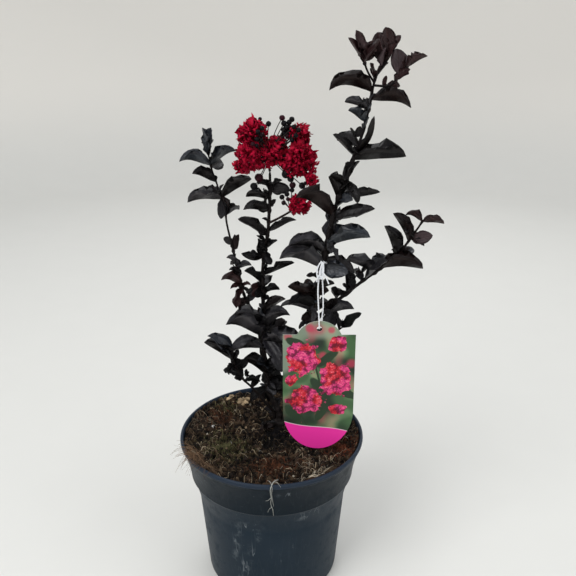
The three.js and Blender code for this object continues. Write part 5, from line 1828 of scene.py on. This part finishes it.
tag = {
    "x": 46.5,
    "y": -32,
    "halfWidth": 34.5,
    "thickness": 0.8,
    "bottom": 159,
    "round": 202,
    "shoulder": 284,
    "top": 298,
    "tab": 21,
    "edge": 0.12,  # of the small bevel round the card
    "hole": (290, 2.6),  # height and radius
    "band": (0.80, 0.034, 0.34),
    "bandRise": (192, 176),  # height of its edge at the left and at the right
    "bandWave": (70, 0.0022),
    "bandLine": 0.0006,
    "leafGreen": (0.050, 0.112, 0.046),
    "paleGreen": (0.24, 0.38, 0.20),
    "shade": (0.011, 0.016, 0.014),
    "haze": (0.30, 0.37, 0.28),
    "bloomRed": (0.60, 0.014, 0.030),
    "bloomPink": (0.70, 0.040, 0.20),
    "bloomLight": (0.90, 0.26, 0.32),
    "blurRed": (0.46, 0.035, 0.085),
    "bloomDeep": (0.055, 0.0020, 0.012),
    "printedLeaf": (0.010, 0.015, 0.011),
    "paper": (0.78, 0.79, 0.77),
    # places on the card in millimetres: (across, height) and reach
    "heads": [
        ((31, 259), (25, 25)), ((63, 236), (23, 27)), ((34, 214), (25, 21)), ((64, 274), (13, 12)),
        ((66, 204), (13, 9)), ((19, 236), (9, 9)),
    ],
    "blurred": [
        ((37, 291), 6), ((50, 262), 7), ((78, 254), 8), ((48, 199), 6), ((17, 282), 7), ((58, 289), 5),
    ],
    # and turn in degrees
    "printedLeaves": [
        ((48, 226), (8, 24), 35), ((54, 259), (7, 22), -50), ((50, 202), (7, 20), -24),
        ((74, 222), (7, 19), 60), ((22, 200), (9, 17), 40), ((24, 276), (7, 16), 70),
        ((46, 240), (1.6, 44), 14), ((56, 216), (1.4, 30), -38), ((30, 198), (1.2, 22), 24),
    ],
}


def tagOutline():
    # straight sides, a half-oval foot, square shoulders and an arched tab, as (across, height)
    foot = polar(1, np.linspace(math.pi, 2 * math.pi, 49))
    oval = foot * (tag["halfWidth"], tag["round"] - tag["bottom"]) + (0, tag["round"])
    rise = tag["top"] - tag["shoulder"]
    arc = (tag["tab"] ** 2 + rise**2) / (2 * rise)
    swing = math.asin(tag["tab"] / arc)
    over = polar(arc, math.pi / 2 + np.linspace(-swing, swing, 25)) + (0, tag["top"] - arc)
    left, right = ((side * tag["halfWidth"], tag["shoulder"]) for side in (-1, 1))
    return np.vstack([[left], oval, [right], over])


def printedGreens(shader, place, soft):
    haze = shader.between(shader.noise(place, 19, 0), 0.60, 0.72)
    return shader.layered(
        tag["leafGreen"],
        (tag["paleGreen"], shader.between(soft, 0.46, 0.70)),
        (tag["shade"], shader.between(shader.noise(place, 27, 1), 0.42, 0.60) * 0.88),
        (tag["haze"], haze * 0.6),
    )


def printedReds(shader, place):
    # small florets are cells whose places are pushed about by noise, with crumpled light and dark between
    flatPlace = shader.place((1, 0.02, 1))
    push = {"Vector": flatPlace, "Scale": 420, "Detail": 3.0}
    pushed = shader.add("ShaderNodeTexNoise", {}, push, "Color")
    moved = {0: pushed, 1: (0.006,) * 3, 2: flatPlace}
    florets = shader.cells(shader.add("ShaderNodeVectorMath", {"operation": "MULTIPLY_ADD"}, moved), 200)
    crumple = shader.noise(flatPlace, 760, 5, 0.8)
    return shader.layered(
        tag["bloomRed"],
        (tag["bloomPink"], shader.between(shader.noise(place, 60, 2), 0.45, 0.56)),
        (tag["bloomLight"], shader.between(crumple, 0.50, 0.60) * shader.between(florets, 0.7, 0.2) * 0.8),
        (tag["bloomDeep"], shader.between(florets + (crumple - 0.5) * 1.8, 0.50, 0.72) * 0.85),
        (tag["bloomDeep"], shader.between(crumple, 0.46, 0.38) * 0.75),
    )


def makeTagMaterial():
    # a plain garden print: soft greens, blurred spots of red, dark leaves and stalks, loose round heads of
    # florets, and a band at the foot; the back and the edge are bare paper
    shader = Shader("printedCard")
    place = shader.place()
    across, deep, height = (shader.part(place, axis) for axis in "XYZ")
    soft = shader.noise(place, 34, 2)
    loose = shader.noise(place, 120, 3, 0.6)

    def onCard(centre, size):
        return shader.spot((centre[0] * mm, tag["y"] * mm, centre[1] * mm), (size[0] * mm, 1, size[1] * mm))

    picture = printedGreens(shader, place, soft)
    for centre, size in tag["blurred"]:
        blur = shader.between(onCard(centre, (size, size)) + (soft - 0.5) * 1.6, 0.05, 1.1)
        picture = shader.mix(picture, tag["blurRed"], blur * 0.75)
    for centre, size, turn in tag["printedLeaves"]:
        blade = shader.blade(np.multiply(centre, mm), np.multiply(size, mm), turn)
        leafy = shader.between(blade + (loose - 0.5) * 0.6, 0.35, 0.55)
        picture = shader.mix(picture, shader.mix(tag["printedLeaf"], tag["leafGreen"], soft * 0.5), leafy)
    heads = sum(onCard(centre, size) for centre, size in tag["heads"])
    inside = shader.between(heads + (loose - 0.5) * 1.7, 0.36, 0.42)
    picture = shader.mix(picture, printedReds(shader, place), inside)
    # the band's edge is a straight slope across the card with one long wave
    left, right = tag["bandRise"]
    often, high = tag["bandWave"]
    aside = across - tag["x"] * mm
    wave = shader.add("ShaderNodeMath", {"operation": "SINE"}, {0: aside * often})
    edge = aside * ((right - left) / (2 * tag["halfWidth"])) + wave * high + (left + right) / 2 * mm
    over = height - edge
    face = shader.layered(
        picture,
        (tag["band"], shader.between(over, 0.0002, -0.0002)),
        (tag["paper"], (1 - shader.between(abs(over), 0.0002, tag["bandLine"])) * 0.6),
    )
    front = shader.between(deep, (tag["y"] + 0.05) * mm, (tag["y"] - 0.15) * mm)
    frills = shader.noise(place, 330, 4, 0.7)
    gloss = {"Coat_Weight": 0.06, "Coat_Roughness": 0.2, "Specular_IOR_Level": 0.22}
    return shader.finish(shader.mix(tag["paper"], face, front), 0.42 + 0.1 * soft, frills, 0.02, **gloss)


def makeTag():
    # the outline and the hole fill a flat curve with a small bevel, which is made a mesh and stood up
    height, radius = tag["hole"]
    hole = polar(radius, -roundTurn(32)) + (tag["x"], height)
    curve = bpy.data.curves.new("tag_line", "CURVE")
    curve.dimensions, curve.fill_mode = "2D", "BOTH"
    edge = tag["edge"] * mm
    curve.extrude = tag["thickness"] / 2 * mm - edge
    curve.bevel_depth, curve.bevel_resolution, curve.offset = edge, 1, -edge
    for ring in (tagOutline() + (tag["x"], 0), hole):
        line = curve.splines.new("POLY")
        line.points.add(len(ring) - 1)
        flat, weight = np.zeros(len(ring)), np.ones(len(ring))
        line.points.foreach_set("co", np.column_stack([ring * mm, flat, weight]).ravel())
        line.use_cyclic_u = True
    blank = addObject("tag_line", curve)
    mesh = bpy.data.meshes.new_from_object(blank.evaluated_get(bpy.context.evaluated_depsgraph_get()))
    bpy.data.objects.remove(blank)
    points = np.zeros(len(mesh.vertices) * 3)
    mesh.vertices.foreach_get("co", points)
    across, up, out = points.reshape(-1, 3).T
    mesh.vertices.foreach_set("co", np.stack([across, tag["y"] * mm - out, up], axis=1).ravel())
    mesh.materials.clear()
    mesh.materials.append(makeTagMaterial())
    mesh.update()
    piece = addObject("tag_card", mesh)
    weld = piece.modifiers.new("weld", "WELD")  # a curve's two faces and the edge between them come apart
    weld.merge_threshold = 0.01 * mm
    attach(piece, "root")
    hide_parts("hang_tag")
    print("piece", "tag_card", len(mesh.vertices), "points")


makeTag()


# String

thread = {
    "radius": 0.7,
    "twist": 2.6,  # millimetres for one turn of the two plies
    "loop": (49.4, -23.1, 355),
    "loopRadius": 4.3,
    "loopTilt": 35,
    "knots": [((48.4, -29, 354), 0.62), ((47.2, -29.8, 345.5), 1.0)],  # place and size
    "knotSize": 0.52 * 1.25,
    "strand": [
        (48.4, -29, 354), (45.6, -31.4, 343), (44.5, -32, 329), (45.3, -33.8, 310), (46, -34.2, 297),
        (46.4, -33.4, 291.2), (46.7, -30.6, 291.2), (48.2, -29.6, 297), (49.6, -29.4, 310),
        (49.2, -29.7, 328), (48.2, -30.2, 343), (48.4, -29, 354),
    ],
    # turns that lie beside the strand over the knot, and the cut ends
    "bundle": [
        [(48.0, -28.6, 356.5), (44.6, -30.6, 352), (43.2, -31.4, 346), (44.4, -32, 340.5), (47, -32, 341),
         (48.6, -30.4, 347), (48.8, -29, 354)],
        [(48.6, -28.8, 355), (46.6, -31.2, 350), (46.2, -32.4, 344), (47.6, -32.6, 340), (49.2, -31.2, 344),
         (49.4, -29.4, 351), (48.6, -28.4, 356)],
        [(47.4, -31, 346), (50.4, -32.6, 343.5), (52.6, -33.4, 339.5), (54.2, -33.6, 335.6)],
        [(46.8, -31, 345), (44.0, -33, 342), (43.2, -33.6, 337.5)],
    ],
    "colour": (0.84, 0.86, 0.90),
}


def plyTube(knots, steps):
    # a tube through the knots, whose section is two plies side by side, turned evenly along its length
    places = throughKnots(knots, np.linspace(0, 1, steps))
    turn = math.pi * lengthAlong(places) / thread["twist"]
    relief = 0.66 + 0.36 * np.abs(np.cos(roundTurn(10) - turn[:, None]))
    reference = np.array([[[1.0, 0.12, 0.05]]])
    return tubes(places[None], thread["radius"], 10, relief[None], reference=reference)


def makeThread():
    # the strand, the turns beside it, a loop round the stem and its knots
    shapes = [plyTube(thread["strand"], 420)] + [plyTube(turns, 90) for turns in thread["bundle"]]
    around = np.linspace(0, 2 * math.pi, 81)
    tilt = math.radians(thread["loopTilt"])
    across = np.cos(around)
    ring = np.stack([across * math.cos(tilt), np.sin(around), -across * math.sin(tilt)], axis=1)
    loop = (ring * thread["loopRadius"] + thread["loop"])[None]
    shapes.append(tubes(loop, thread["radius"] * 0.95, 8, reference=np.array([[[0.1, 0.2, 1.0]]])))
    # a knot is a thread wound three times round and twice through itself
    wind = np.linspace(0, 2 * math.pi, 91)
    spread = 2 + np.cos(3 * wind)
    knot = np.stack([spread * np.cos(2 * wind), np.sin(3 * wind) * 1.1, spread * np.sin(2 * wind)], axis=1)
    for place, size in thread["knots"]:
        line = (knot * size * thread["knotSize"] + place)[None]
        shapes.append(tubes(line, 0.6, 7, reference=np.array([[[0.05, 1.0, 0.1]]])))
    shader = Shader("whiteThread")
    fuzz = shader.noise(shader.place(), 1500, 3)
    colour = shader.mix([c * 0.82 for c in thread["colour"]], thread["colour"], fuzz)
    material = shader.finish(colour, 0.85, fuzz, 0.3)
    addPiece("tag_thread", joined(shapes), [material], ["tag_string"])


makeThread()
print("tag and string ready")
